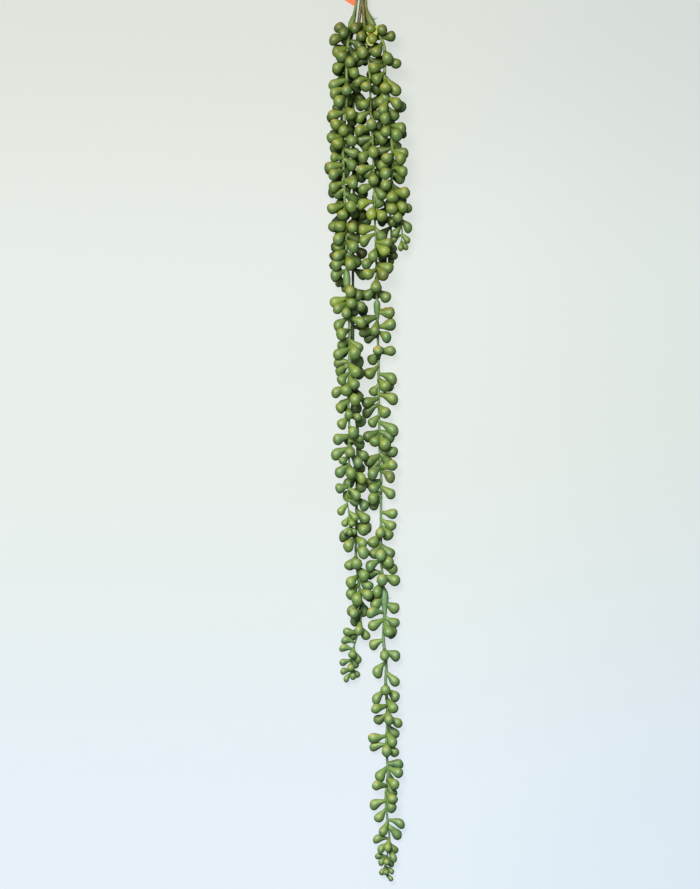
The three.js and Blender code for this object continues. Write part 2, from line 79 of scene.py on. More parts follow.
# Each stem has its socket, its route and its plan. A plan has the row of each whorl, then the side,
# droop and build of its leaves. After ">" stand the column and row that a leaf's bulb is turned to,
# read off the photo, while the solids keep the leaf unturned. "more" are leaves deep in the
# bunch that only the finished model has. "thin" is the stem's radius by the distance along it,
# "joints" are swellings by row and radius, "bare" is how brown its bare top is, and "lean" is how
# far that top leans to the right. "plump" brings the small leaves near the tip this far towards
# full size.
stems = (
    {
        "node": "stem_front_middle", "piece": "stemFrontMiddle", "socket": (0, "front"),
        "seed": 121, "plump": 0, "taper": 50, "tipSize": 0.45, "bare": 0.9, "lean": 1.6,
        "joints": (((300, 1), (302, 2.8), (305, 3.3), (309, 3.1), (315, 2.3), (323, 1)),
                   ((587, 1.1), (591, 3.2), (597, 4.2), (602, 3.7), (608, 2.6), (617, 1.4))),
        "thin": ((0, 1.7), (35, 1.6), (60, 1.05), (300, 1.0), (330, 1.2), (590, 1.2), (640, 1.55),
                 (700, 1.3), (800, 1.05), (857, 0.5)),
        "route": (
            (-2.4, 372, 17), (1.6, 350, 25), (4.5, 322, 28.5), (5.5, 285, 28.5),
            (7.4, 258, 28.5), (8.4, 222, 28.5), (9.5, 183, 28.5), (10.6, 152, 27),
            (11.3, 118, 21), (11.6, 90, 13.5), (12.6, 62, 10), (13.2, 12, 8.7),
            (13.8, -26, 8.7), (15.2, -52, 8.7), (15.2, -98, 8.7), (15.8, -143, 8.7),
            (18.3, -172, 8.7), (18.6, -194, 8.7), (17.4, -210, 8.7), (20.3, -242, 8.7),
            (19.6, -253, 8.7), (21.5, -284, 8.7), (20.3, -317, 8.7), (22, -342, 8.7),
            (19.6, -363, 8.9), (21.4, -385, 8.2), (23.2, -402, 7.2), (20.9, -421, 5.6),
            (18.8, -432, 4.6), (21.5, -441, 3.8),
        ),
        "plan": """
            24 l4, 27 r3, 32 f4, 39 g3, 50 f3, 53 L2 R-2, 58 q3, 79 L2, 80 f4, 98 l4, 111 L4, 119 F4,
            130 L1, 131 R5, 138 L1, 140 p4, 146 F4, 152 L4, 156 q5, 165 p5, 167 L2, 173 F4, 185 L2,
            186 R5, 193 q5, 202 L2, 207 f4, 208 q5, 209 R4, 228 L1 q5, 234 L4, 242 R1, 244 r3, 246 q5,
            249 f4, 259 L3, 263 R2, 267 r4, 269 L2, 277 F4, 279 q5>381/277, 287 L4 p5, 290 R4, 312 R0,
            317 L2, 322 f4, 327 R-1b, 332 r3, 333 L0, 336 p2, 352 R0, 354 p4>373/360, 359 F-4, 366 L4,
            374 R2>392/381, 379 r4, 381 R3, 384 p5>374/391, 394 R2>394/401, 398 L2, 404 L3>366/415,
            406 r4, 416 L5>372/424, 422 R3>393/432, 431 L3 R4, 434 p4, 436 g4, 449 R1, 453 q5, 455 L3,
            460 p5, 467 l4, 468 R-1, 471 r4, 480 L1, 482 p3, 487 R4, 492 l4, 497 L5, 512 R1, 519 R3,
            526 R5, 528 F3, 533 L5, 544 L5, 545 R5, 551 F3, 556 q3, 561 L3, 565 R3, 573 L1, 575 F3,
            576 R3, 582 l5, 594 L5, 603 q3, 613 L1, 617 q3, 619 L3, 621 r5, 625 R5, 640 p3, 650 F3,
            652 R3, 662 L5, 672 R5, 685 F3, 690 L5 R5, 699 r5, 706 L1, 711 F5, 714 p3, 718 R3, 724 q5,
            733 r5, 736 L1, 743 F5, 744 R5, 745 p1, 764 q1, 767 L5, 768 R3, 771 p5, 779 r3, 781 q5,
            786 L1, 792 R3, 799 r5, 801 p3, 808 L5, 820 R3, 822 l5, 826 q5, 839 L1 F5, 842 q5, 843 l5,
            848 r5b, 857 L1 l5 R5 F3, 867 L5 l5 r5, 874 r5
        """,
        "more": "44 p3, 61 p4>358/62, 72 q4",
    },
    {
        "node": "stem_front_left", "piece": "stemFrontLeft", "socket": (-1, "front"),
        "seed": 856, "plump": 0.1, "taper": 62, "tipSize": 0.45, "bare": 0.2, "lean": 0,
        "joints": (((14, 1.2), (18, 2.4), (23, 3.1), (27, 2.8), (32, 1.2)),
                   ((268, 1), (273, 2.8), (279, 3.7), (285, 3.1), (291, 1))),
        "thin": ((0, 1.35), (420, 1.1), (528, 0.5)),
        "route": (
            (-10.8, 379, 14), (-15.2, 361, 21.5), (-17.3, 337, 27), (-17.6, 299, 28.5),
            (-20.5, 264, 28.5), (-20.8, 245, 28.5), (-19.6, 215, 28.5), (-18, 174, 28.5),
            (-17.5, 139, 28.5), (-16.8, 112, 28.5), (-14.9, 80, 28.5), (-15.3, 38, 28),
            (-15.8, 12, 27.5), (-14.9, -13, 27), (-15.2, -41, 26.5), (-14.1, -62, 25.5),
            (-17.4, -79, 24), (-15.7, -90, 23), (-14.3, -106, 20.5), (-14.3, -114, 19),
        ),
        "plan": """
            29 F4, 33 L-2>338/28, 38 L1>334/42, 41 R2, 48 L3, 52 l4, 62 L3>337/70, 66 r4, 80 L1>333/86,
            83 F4, 87 R1>357/89, 89 L3, 96 l4, 108 r4, 112 L2, 118 R2, 122 L2, 125 F4, 132 R4, 136 L1,
            137 l4, 141 p4, 149 R2, 159 L-2>336/158 R4, 165 L1, 171 L2, 180 R3, 183 L3, 189 p4>338/194,
            193 R4, 205 L1 R2, 207 q4, 208 f4, 219 l4, 220 L3>333/227, 225 r2, 232 l4, 234 R3, 241 r4,
            242 L3>338/248, 251 l3, 253 R4b, 257 g4, 261 l3, 263 L2, 271 L3, 285 g4, 292 R2, 296 g4,
            298 L2, 303 L3 R2, 304 r4, 306 l4, 318 R3 L4, 330 l3, 331 L2, 338 p4, 340 R4, 343 R5b,
            349 L3, 358 q3, 362 L1, 364 r4, 366 p3, 373 L4>343/382, 376 r5, 383 g4, 387 L2>336/394,
            393 r4, 400 p1>343/407, 402 L3>341/409, 409 F4s, 416 R1s, 417 L4>342/426, 427 g4, 436 L2,
            437 R1s, 441 R2, 443 F4, 448 L2>336/456, 453 R5, 456 L2s>342/461, 464 L4, 466 F4, 473 R4,
            486 L1>339/488, 488 R4, 500 R1, 504 L5, 511 R5, 517 L5 r5, 527 L5 R5 F5
        """,
        "more": "45 q3, 57 R4, 73 q3",
    },
    {
        "node": "stem_front_right", "piece": "stemFrontRight", "socket": (1, "front"),
        "seed": 672, "plump": 0.2, "taper": 45, "tipSize": 0.45, "bare": 0.6, "lean": -1.2,
        "joints": (((10, 1.4), (15, 2.5), (19, 3.3), (24, 3.3), (29, 2.6), (34, 1.4)),),
        "thin": ((0, 1.4), (120, 1.35), (200, 1.2), (257, 0.5)),
        "route": (
            (3.6, 382, 13.5), (8.8, 369, 18.5), (15.2, 357, 23.5), (18.2, 350, 25.5),
            (19, 335, 27.5), (18.6, 320, 28.5), (21.2, 305, 28.5), (21, 291, 28.5),
            (24.6, 266, 28.5), (26.6, 237, 28), (24.8, 219, 27), (25.5, 210, 26),
            (29.5, 195, 22.5), (34.2, 184, 18.5), (35.2, 171, 15), (34.2, 162, 12.5),
        ),
        "plan": """
            30 r3>383/31, 38 R1>392/36, 52 g4>388/61, 57 R4>397/64, 66 L1, 73 L4, 78 R4>398/94, 79 q5,
            80 F4, 85 R4>386/100, 91 L5, 98 r4 R3>401/107, 100 L5, 108 q5, 110 L2 f5, 118 q4, 124 L4,
            126 R3, 130 f4, 134 R0>402/135, 143 q3>397/148, 148 L1, 151 r5 R2, 154 L2, 160 l2,
            161 q3>401/174, 167 R3, 171 L2, 174 q3, 182 l2, 184 q5, 187 f5, 193 R1, 197 q4, 200 r5,
            201 L3, 209 R1, 210 r3, 214 L3, 216 p5, 219 R5>407/229, 226 L4, 234 R5, 235 L4, 241 F5 R5
        """,
        "more": "43 p4, 47 l4",
    },
    {
        "node": "stem_back_left", "piece": "stemBackLeft", "socket": (0, "back"),
        "seed": 413, "plump": 0.35, "taper": 72, "tipSize": 0.48, "bare": 1.0, "lean": -0.3,
        "joints": (((308, 1), (314, 2.6), (320, 2.8), (328, 1)),),
        "thin": ((0, 1.7), (35, 1.6), (60, 1.25), (290, 1.25), (330, 1.75), (400, 1.75), (450, 1.3),
                 (560, 1.2), (659, 0.5)),
        "route": (
            (-5.6, 373, 6.5), (-8.6, 337, 9), (-11.2, 290, 9.1), (-11.3, 250, 9.1),
            (-10.6, 204, 9.1), (-11.4, 156, 9.1), (-11.5, 109, 9.1), (-11.8, 60, 9.1),
            (-10.5, 14, 9.1), (-7.6, -8, 9.1), (-7, -28, 9.1), (-7.8, -66, 9.1),
            (-8.1, -100, 9.1), (-8.6, -134, 9.1), (-6, -159, 9.1), (-3, -181, 9.1),
            (-4.3, -197, 9.4), (-7.8, -212, 8.4), (-11.9, -225, 7), (-13.8, -240, 5),
            (-12.8, -248, 4),
        ),
        "plan": """
            45 F3, 59 R3>364/61, 66 l4, 74 F4, 80 L3, 88 R5>360/104, 99 R4, 112 F4, 120 l4, 128 R3,
            141 R3, 150 L4, 159 R4, 174 F3, 184 l4, 194 R4, 208 F4, 217 R2, 228 l4, 238 F4, 246 R4,
            256 l3, 268 R3, 288 R3, 300 l4, 305 R3, 327 q1, 345 l4, 368 R4, 380 F4, 388 R4, 397 R4,
            405 R3, 418 R4>361/422, 432 F4, 450 R2, 458 R5, 476 F4, 478 R5, 490 l4, 498 R4, 510 R5,
            524 F3 R1, 536 L1, 537 q3, 538 l5, 549 R1, 556 L5, 558 R1, 567 R5, 576 l3, 578 R3, 584 L5,
            590 r3, 591 l5, 592 R3, 602 L5 R5, 612 L1, 613 p5, 622 F5, 625 R5, 628 q5, 633 L1, 643 L1,
            647 F5, 650 L1, 651 R5, 658 R5, 660 L3, 662 F3, 669 R5, 670 r5, 671 L1, 673 F5
        """,
        "more": """
            24 r3, 27 R3, 30 l3, 33 R3, 36 l4, 38 r3, 45 l4, 52 R3, 57 l3, 63 R4>354/73, 94 l4, 97 L3,
            141 l3, 147 r4, 166 l4, 171 r4, 188 r4, 211 l3, 217 f4, 222 r4
        """,
    },
    {
        "node": "stem_back_right", "piece": "stemBackRight", "socket": (1, "back"),
        "seed": 396, "plump": 0.2, "taper": 40, "tipSize": 0.45, "joints": (), "bare": 1.0, "lean": -2.6,
        "thin": ((0, 1.6), (60, 1.3), (210, 1.15), (266, 0.5)),
        "route": (
            (3.2, 375, 6.5), (12, 337, 9), (14.3, 299, 9.1), (16.2, 261, 9.1),
            (19, 232, 9.1), (22.8, 204, 9.1), (24.6, 180, 9.2), (24.6, 166, 7.8),
            (22.8, 156, 6), (19.4, 146, 4.2),
        ),
        "plan": """
            50 L4, 58 f3, 70 r4>383/80, 83 F4, 96 f4, 103 l3, 108 R3, 120 F4, 138 g4, 150 l4, 162 R3,
            163 F4, 175 R3, 184 r3, 190 L3, 198 R2, 207 F4 r3, 218 f4>381/222 r4, 227 L5, 231 F5,
            240 g5, 247 r5, 254 R5, 255 L5, 259 F5
        """,
        "more": "30 l4, 36 L3, 43 f3, 46 l4, 64 L4, 90 l4, 132 l4, 138 f4, 165 l4, 171 l4, 199 f4, 205 l4",
    },
    {
        "node": "stem_back_far_left", "piece": "stemBackFarLeft", "socket": (-1, "back"),
        "seed": 848, "plump": 0.2, "taper": 40, "tipSize": 0.45, "joints": (), "bare": 0.9, "lean": -0.3,
        "thin": ((0, 1.3), (230, 1.15), (288, 0.5)),
        "route": (
            (-10.2, 373, 6.5), (-13.8, 352, 9), (-19, 318, 9.1), (-22.8, 270, 9.1),
            (-23, 223, 9.1), (-23.8, 175, 9.1), (-23.6, 148, 8.6), (-22.9, 132, 6),
            (-22.8, 122, 4.2),
        ),
        "plan": """
            48 L2, 63 l4, 73 r4>338/86, 82 l4>339/93, 100 L3>338/109, 113 L3, 127 l4, 141 f4>340/149,
            152 r4, 163 L3, 174 l4>336/187, 190 l4>334/193, 193 F4, 207 r4>338/209, 214 L3>338/224,
            226 f4>340/236, 234 r4, 241 F4, 250 L3>337/255, 257 l4, 268 l4, 276 F4, 279 l5>339/283,
            283 r5
        """,
        "more": "30 R2, 33 r3, 36 R3, 42 r3, 52 F3, 57 R3, 68 R4",
    },
)

turnRule = {"least": 0.8, "most": 1.25}  # what a turned leaf's length may become, by its own
pickHeight = 0.1  # how much a leaf's height counts when it is picked by its column and row

# Leaves tinted apart from the rest: column, row. The blue tint is a painted reflection, standing in for
# the blue-green sheen on deep leaves
oddLeaves = {
    "brown": ((375, 471), (387, 476), (383, 272), (363, 252)),
    "bright": ((359, 479), (364, 206), (371, 212), (361, 230), (364, 275), (383, 249), (333, 52),
               (371, 31), (370, 41), (341, 299), (340, 500)),
    "blue": ((353, 178), (362, 463), (397, 167), (357, 310), (362, 350), (353, 96), (345, 153)),
}
coverRule = {"reach": 13, "clear": 3, "rise": 9, "share": 0.75}


def drawsFrom(seed):
    state = [seed]

    def draw():
        state[0] = (state[0] * 1664525 + 1013904223) % 2 ** 32
        return state[0] / 2 ** 32

    return draw


def drawn(span, draw):
    return span[0] + span[1] * draw()


def cubicBetween(before, start, end, after, share):  # centripetal, through start and end
    pairs = ((before, start), (start, end), (end, after))
    first, middle, last = [(b - a).length_squared ** 0.25 for a, b in pairs]
    leaving = (start - before) / first - (end - before) / (first + middle) + (end - start) / middle
    coming = (end - start) / middle - (after - start) / (middle + last) + (after - end) / last
    leaving = leaving * middle
    coming = coming * middle
    square = -3 * start + 3 * end - 2 * leaving - coming
    cube = 2 * start - 2 * end + leaving + coming
    return start + leaving * share + square * share ** 2 + cube * share ** 3


def smoothLine(points, steps):
    padded = [2 * points[0] - points[1]] + points + [2 * points[-1] - points[-2]]
    line = []
    for i in range(len(points) - 1):
        for k in range(steps):
            line.append(cubicBetween(*padded[i:i + 4], k / steps))
    line.append(points[-1].copy())
    return line


def walkAlong(points):
    walked = [0]
    for a, b in zip(points, points[1:]):
        walked.append(walked[-1] + (b - a).length)
    return {"points": points, "walked": walked, "length": walked[-1]}


def placeAt(walk, distance):
    points, walked = walk["points"], walk["walked"]
    i = 1
    while i < len(points) - 1 and walked[i] < distance:
        i += 1
    share = (distance - walked[i - 1]) / (walked[i] - walked[i - 1])
    return points[i - 1].lerp(points[i], share), (points[i] - points[i - 1]).normalized()


def distanceAtRow(walk, row):
    y = rowRule["topY"] - rowRule["step"] * row
    points, walked = walk["points"], walk["walked"]
    i = 1
    while i < len(points) - 1 and points[i].y > y:
        i += 1
    above = points[i - 1].y
    share = min(1, (above - y) / (above - points[i].y))
    return walked[i - 1] + share * (walked[i] - walked[i - 1])


def fineLine(stem):
    column, row = stem["socket"]
    top = Vector((
        socketPlan["x"] + column * socketPlan["pitch"],
        socketPlan["y"] + lineRule["socketDepth"],
        socketPlan[row],
    ))
    out = top - Vector((0, lineRule["socketRun"], 0))
    points = [top, out] + [Vector(point) for point in stem["route"]]
    return walkAlong(smoothLine(points, lineRule["curveSteps"]))


def evenLine(fine):
    steps = round(fine["length"] / lineRule["step"])
    return walkAlong([placeAt(fine, fine["length"] * i / steps)[0] for i in range(steps + 1)])


def leafDirection(ahead, turn, droop):
    right = Vector((0, 0, 1)).cross(ahead).normalized()
    up = ahead.cross(right).normalized()
    around, down = math.radians(turn), math.radians(droop)
    out = up * math.cos(around) + right * math.sin(around)
    return out * math.cos(down) + ahead * math.sin(down)


def ballsOf(leaf):
    return [
        (leaf["point"] + leaf["direction"] * along * leaf["length"], wide * leaf["radius"],
         along > roomRule["bulbFrom"], leaf["stem"])
        for along, wide in roomRule["balls"]
    ]


def shelve(shelves, ball):
    shelves.setdefault(math.floor(ball[0].y / roomRule["nearAlong"]), []).append(ball)


def hasRoom(balls, shelves):
    for centre, radius, bulb, stem in balls:
        if centre.z - radius < -roomRule["floorBite"]:
            return False
        shelf = math.floor(centre.y / roomRule["nearAlong"])
        for near in (shelf - 1, shelf, shelf + 1):
            for otherCentre, otherRadius, otherBulb, otherStem in shelves.get(near, ()):
                own = otherStem == stem
                if own and not (otherBulb and bulb):
                    continue
                if abs(otherCentre.y - centre.y) > roomRule["nearAlong"]:
                    continue
                reach = radius + otherRadius
                needed = reach * roomRule["bulbTouch"] if own else reach + roomRule["clearance"]
                if (centre - otherCentre).length < needed:
                    return False
    return True


def findRoom(wanted, turn, droop, shelves):
    for extra in roomRule["droops"]:
        for swing in roomRule["turns"]:
            direction = leafDirection(wanted["ahead"], turn + swing, droop + extra)
            leaf = dict(wanted, direction=direction)
            if hasRoom(ballsOf(leaf), shelves):
                return leaf
    return None


def leafSize(stem, left):
    share = min(1, left / stem["taper"]) ** leafRule["tapering"]
    return stem["tipSize"] + (1 - stem["tipSize"]) * share


def readPlan(plan):
    for entry in plan.split(","):
        row, *codes = entry.split()
        for code in codes:
            code, _, aim = code.partition(">")
            build = code[-1] if code[-1] in leafRule["builds"] else "plain"
            yield int(row), leafRule["sides"][code[0]], int(code[1:].rstrip("bs")), build, aim


def growLeaves(stem, walk, shelves, plan, seed):
    draw = drawsFrom(seed)
    leaves = []
    for row, side, droops, build, aim in readPlan(plan):
        distance = distanceAtRow(walk, row)
        point, ahead = placeAt(walk, distance)
        size = leafSize(stem, walk["length"] - distance)
        turn = side + leafRule["turnSpread"] * (draw() - 0.5)
        droop = droops * leafRule["droopStep"] + leafRule["droopSpread"] * (draw() - 0.5)
        long, wide = leafRule["builds"][build]
        length = leafRule["length"] * size * long * drawn(leafRule["lengths"], draw)
        slim = size ** leafRule["slimming"]
        radius = leafRule["radius"] * slim * wide * drawn(leafRule["radii"], draw)
        draw()  # the solids' leaves roll about their own length by this draw
        wanted = {
            "point": point, "ahead": ahead, "length": length, "radius": radius,
            "stem": stem["node"], "place": distance, "size": size, "aim": aim,
        }
        leaf = findRoom(wanted, turn, droop, shelves)
        if leaf:
            leaves.append(leaf)
            for ball in ballsOf(leaf):
                shelve(shelves, ball)
    return leaves


def bulbOf(leaf):
    return leaf["point"] + leaf["direction"] * leafRule["bulbAt"] * leaf["length"]


def coverLeaves(leaves):  # how far each leaf is hidden from above by others, for its painted shade
    bulbs = [bulbOf(leaf) for leaf in leaves]
    for leaf, bulb in zip(leaves, bulbs):
        cover = 0
        for other in bulbs:
            rise = other.z - bulb.z - coverRule["clear"]
            away = (other.xy - bulb.xy).length
            if rise > 0 and away < coverRule["reach"]:
                cover += (1 - away / coverRule["reach"]) * min(1, rise / coverRule["rise"])
        leaf["cover"] = min(1, cover * coverRule["share"])


def placeOf(column, row):
    x = (column - rowRule["middleX"]) * rowRule["step"]
    return Vector((x, rowRule["topY"] - row * rowRule["step"]))


def leafAt(leaves, column, row):  # of the leaves near a column and row, the upper one
    aim = placeOf(column, row)
    return min(leaves, key=lambda leaf: (bulbOf(leaf).xy - aim).length - bulbOf(leaf).z * pickHeight)


def turnLeaves(leaves):
    for leaf in leaves:
        if leaf["aim"]:
            column, row = leaf["aim"].split("/")
            bulb = placeOf(int(column), int(row)).to_3d()
            bulb.z = bulbOf(leaf).z
            reach = bulb - leaf["point"]
            wanted = reach.length / leafRule["bulbAt"] / leaf["length"]
            leaf["direction"] = reach.normalized()
            leaf["length"] *= min(turnRule["most"], max(turnRule["least"], wanted))


def tintLeaves(leaves):
    for leaf in leaves:
        leaf["odd"] = {"brown": 0, "bright": 0, "blue": 0}
    for tint, spots in oddLeaves.items():
        for column, row in spots:
            leafAt(leaves, column, row)["odd"][tint] = 1


def growAll():
    shelves = {}
    for stem in stems:
        stem["fine"] = fineLine(stem)
        stem["walk"] = evenLine(stem["fine"])
    for stem in stems:
        distance = 0
        while distance < stem["walk"]["length"]:
            centre = placeAt(stem["walk"], distance)[0]
            shelve(shelves, (centre, roomRule["stemRadius"], False, stem["node"]))
            distance += roomRule["stemBallStep"]
    for stem in stems:
        stem["leaves"] = growLeaves(stem, stem["walk"], shelves, stem["plan"], stem["seed"])
    for stem in stems:
        seed = stem["seed"] + leafRule["moreSeed"]
        stem["leaves"] += growLeaves(stem, stem["walk"], shelves, stem["more"], seed)
    everyLeaf = [leaf for stem in stems for leaf in stem["leaves"]]
    turnLeaves(everyLeaf)
    coverLeaves(everyLeaf)
    tintLeaves(everyLeaf)
    print("leaves placed:", len(everyLeaf))


def srgb(red, green, blue):  # 0 to 255, as read off a screen
    def linear(value):
        value /= 255
        return value / 12.92 if value <= 0.04045 else ((value + 0.055) / 1.055) ** 2.4

    return (linear(red), linear(green), linear(blue), 1)


def node(tree, kind, inputs=None, **settings):
    made = tree.nodes.new(kind)
    for name, value in settings.items():
        setattr(made, name, value)
    for key, value in (inputs or {}).items():
        if isinstance(value, bpy.types.NodeSocket):
            tree.links.new(value, made.inputs[key])
        else:
            made.inputs[key].default_value = value
    return made


def maths(tree, operation, first, second=0.0):
    return node(tree, "ShaderNodeMath", {0: first, 1: second}, operation=operation).outputs[0]


def times(tree, first, second):
    return maths(tree, "MULTIPLY", first, second)


def mixed(tree, factor, first, second, blend="MIX"):
    values = {0: factor, 6: first, 7: second}
    return node(tree, "ShaderNodeMix", values, data_type="RGBA", blend_type=blend).outputs[2]


def between(tree, value, low, high, toLow=0.0, toHigh=1.0):  # smooth step from low to high
    values = {"Value": value, "From Min": low, "From Max": high, "To Min": toLow, "To Max": toHigh}
    return node(tree, "ShaderNodeMapRange", values, interpolation_type="SMOOTHSTEP").outputs[0]


def partsOf(tree, vector):  # x, y and z
    return node(tree, "ShaderNodeSeparateXYZ", {0: vector}).outputs


def attribute(tree, name, part="Fac"):
    return node(tree, "ShaderNodeAttribute", attribute_name=name).outputs[part]


def objectPlace(tree, scale=(1.0, 1.0, 1.0)):
    place = node(tree, "ShaderNodeTexCoord").outputs["Object"]
    return node(tree, "ShaderNodeMapping", {"Vector": place, "Scale": scale}).outputs[0]


def newGroup(name, kind, inputs, outputs):
    tree = bpy.data.node_groups.new(name, kind)
    for title, socket, value in inputs:
        made = tree.interface.new_socket(title, in_out="INPUT", socket_type="NodeSocket" + socket)
        if value is not None:
            made.default_value = value
    for title, socket in outputs:
        tree.interface.new_socket(title, in_out="OUTPUT", socket_type="NodeSocket" + socket)
    return tree, tree.nodes.new("NodeGroupInput").outputs, tree.nodes.new("NodeGroupOutput").inputs


def newMaterial(name):
    material = bpy.data.materials.new(name)
    material.use_nodes = True
    tree = material.node_tree
    tree.nodes.clear()
    skin = tree.nodes.new("ShaderNodeBsdfPrincipled")
    end = tree.nodes.new("ShaderNodeOutputMaterial")
    tree.links.new(skin.outputs[0], end.inputs[0])
    return material, tree, skin


def placedGroup(tree, group, inputs):
    return node(tree, "ShaderNodeGroup", inputs, node_tree=group).outputs


# The span of a noise is where its values mostly lie
noiseLook = {
    "patches": {"detail": 3.0, "roughness": 0.55, "span": (0.32, 0.68)},
    "grain": {"detail": 2.0, "roughness": 0.6, "span": (0.3, 0.7)},
    "height": {"span": (0.3, 0.7)},
}


def makeMottle():  # cloudy patches with fine grain over them
    tree, given, out = newGroup(
        "mottle", "ShaderNodeTree",
        [("Place", "Vector", None), ("Patch Scale", "Float", 120.0),
         ("Grain Scale", "Float", 900.0), ("Grain Share", "Float", 0.3)],
        [("Patches", "Float"), ("Grain", "Float"), ("Height", "Float")],
    )

    def cloud(scale, look, title):
        values = {
            "Vector": given["Place"], "Scale": given[scale],
            "Detail": look["detail"], "Roughness": look["roughness"],
        }
        made = node(tree, "ShaderNodeTexNoise", values).outputs[0]
        tree.links.new(between(tree, made, *look["span"]), out[title])
        return made

    patches = cloud("Patch Scale", noiseLook["patches"], "Patches")
    grain = cloud("Grain Scale", noiseLook["grain"], "Grain")
    values = {0: given["Grain Share"], 2: patches, 3: grain}
    tree.links.new(node(tree, "ShaderNodeMix", values, data_type="FLOAT").outputs[0], out["Height"])
    return tree


# From and to which place along the object's length growth is older, and where the crown is darkened with
# painted shade, in metres
ageRule = {"older": (-0.3, 0.34), "crown": (0.32, 0.37)}


class Skin:  # a material laid up from the colours, shares and spans of its look
    def __init__(self, name, look, mottle, base="body"):
        self.material, self.tree, self.shader = newMaterial(name)
        self.look = look
        self.body = look[base]
        place = objectPlace(self.tree, look["stretch"])
        self.marks = placedGroup(self.tree, mottle, {"Place": place, **look["patches"]})

    def span(self, title, value):  # smooth step over the look's span of that title
        return between(self.tree, value, *self.look["spans"][title])

    def lay(self, colour, mask, title=None):  # lays a colour over the body where the mask says
        share = self.look["shares"].get(title or colour, 1.0)
        self.body = mixed(self.tree, times(self.tree, mask, share), self.body, self.look[colour])

    def ageAndCrownShade(self):  # growth near the crown is older and duller than near the tips, and the crown itself is darkened further with painted shade
        tree, look = self.tree, self.look
        height = partsOf(tree, objectPlace(tree))[1]
        tint = mixed(tree, between(tree, height, *ageRule["older"]), look["younger"], look["older"])
        tint = mixed(tree, between(tree, height, *ageRule["crown"]), tint, look["crown"])
        self.body = mixed(tree, 1.0, self.body, tint, "MULTIPLY")

    def finish(self, height=None):  # colour, gloss and relief
        tree, look, inputs = self.tree, self.look, self.shader.inputs
        tree.links.new(self.body, inputs["Base Color"])
        rough = between(tree, self.marks["Height"], *noiseLook["height"]["span"], *look["roughness"])
        tree.links.new(rough, inputs["Roughness"])
        height = height or self.marks["Height"]
        values = {"Height": height, "Strength": look["relief"], "Distance": look["depth"]}
        tree.links.new(node(tree, "ShaderNodeBump", values).outputs[0], inputs["Normal"])
        inputs["Specular IOR Level"].default_value = look["gloss"]
        return self.material


# A look has its colours, its "shares", which say how strongly a colour covers what is under it, and
# its "spans", which say between which values it comes in, and with four values from and to which share
leafLook = {
    "body": srgb(106, 134, 66), "cool": srgb(96, 130, 78), "deep": srgb(52, 74, 30),
    "flushAndLitSide": srgb(152, 166, 70), "tan": srgb(222, 190, 112), "paintedSheen": srgb(158, 184, 122),
    "neck": srgb(120, 148, 74), "shaded": srgb(40, 62, 30), "brown": srgb(122, 92, 58),
    "bright": srgb(164, 186, 70), "blue": srgb(84, 122, 92),
    "crown": (0.45, 0.45, 0.33, 1), "older": (0.72, 0.72, 0.56, 1), "younger": (0.9, 1.02, 1.22, 1),
    "shares": {
        "bright": 0.75, "blue": 0.6, "flushAndLitSide": 0.2, "litPatches": 0.2, "up": 0.8, "side": 0.35,
        "paintedSheen": 0.38, "deep": 0.8, "neck": 0.45, "shaded": 0.75, "grain": 0.12, "seam": 0.25,
    },
    "spans": {
        "tone": (0.2, 1), "lit": (0.15, 0.95), "litBlush": (0, 1, 0.35, 0.9), "sheen": (0.72, 1.0),
        "sheenAlong": (0.3, 0.65), "shadowSide": (0.0, -0.85), "tip": (0.55, 0.9), "edge": (0.62, 0.95),
        "edgePatches": (0.15, 0.8, 0.55, 1.0), "edgeBlush": (0.0, 0.8, 0.4, 1.0),
        "brown": (0.35, 0.7, 0.12, 0.38), "neck": (0.4, 0.05), "seam": (0.1, 0.0),
    },
    "roughness": (0.37, 0.5), "relief": 0.25, "depth": 0.0005, "gloss": 0.5,
    "patches": {"Patch Scale": 150.0, "Grain Scale": 1500.0, "Grain Share": 0.25},
    "stretch": (1.0, 1.0, 1.0),
}
stemLook = {
    "body": srgb(100, 138, 84), "pale": srgb(132, 160, 108), "bark": srgb(52, 48, 28),
    "deep": srgb(58, 92, 56), "streak": srgb(148, 124, 66), "scar": srgb(120, 96, 52),
    "joint": srgb(106, 144, 92), "shadowSide": leafLook["deep"],
    "crown": (0.84, 0.74, 0.46, 1), "older": (0.92, 0.84, 0.55, 1), "younger": (0.96, 1.02, 1.16, 1),
    "shares": {"pale": 0.55, "scar": 0.18, "joint": 0.7, "ridge": 0.7, "shadowSide": 0.6},
    "spans": {
        "ridge": (0.88, 0.99), "shadowSide": (0.1, -0.8), "bare": (0.0, 0.7, 0.6, 1.0), "bark": (0.35, 0.9),
    },
    "roughness": (0.42, 0.62), "relief": 0.5, "depth": 0.0005, "gloss": 0.4,
    "patches": {"Patch Scale": 260.0, "Grain Scale": 1900.0, "Grain Share": 0.45},
    "stretch": (1.0, 0.18, 1.0),
}
scrapLook = {
    **stemLook, "stretch": (1.0, 1.0, 1.0), "shares": {"patches": 0.6, "grain": 0.3},
    "frill": srgb(146, 166, 62), "frillSpots": srgb(196, 184, 96), "torn": srgb(172, 164, 74),
    "tornSpots": srgb(84, 72, 34), "thorn": srgb(70, 70, 34), "thornSpots": srgb(46, 38, 22),
}
crownLook = {
    "body": srgb(96, 92, 52), "ridge": srgb(134, 124, 78), "crack": srgb(58, 50, 30),
    "cut": srgb(176, 168, 118), "shares": {"ridge": 0.8, "crack": 0.25},
    "roughness": (0.6, 0.8), "relief": 0.7, "depth": 0.0006, "gloss": 0.35,
    "patches": {"Patch Scale": 420.0, "Grain Scale": 2200.0, "Grain Share": 0.5},
    "stretch": (1.0, 0.3, 1.0),
}
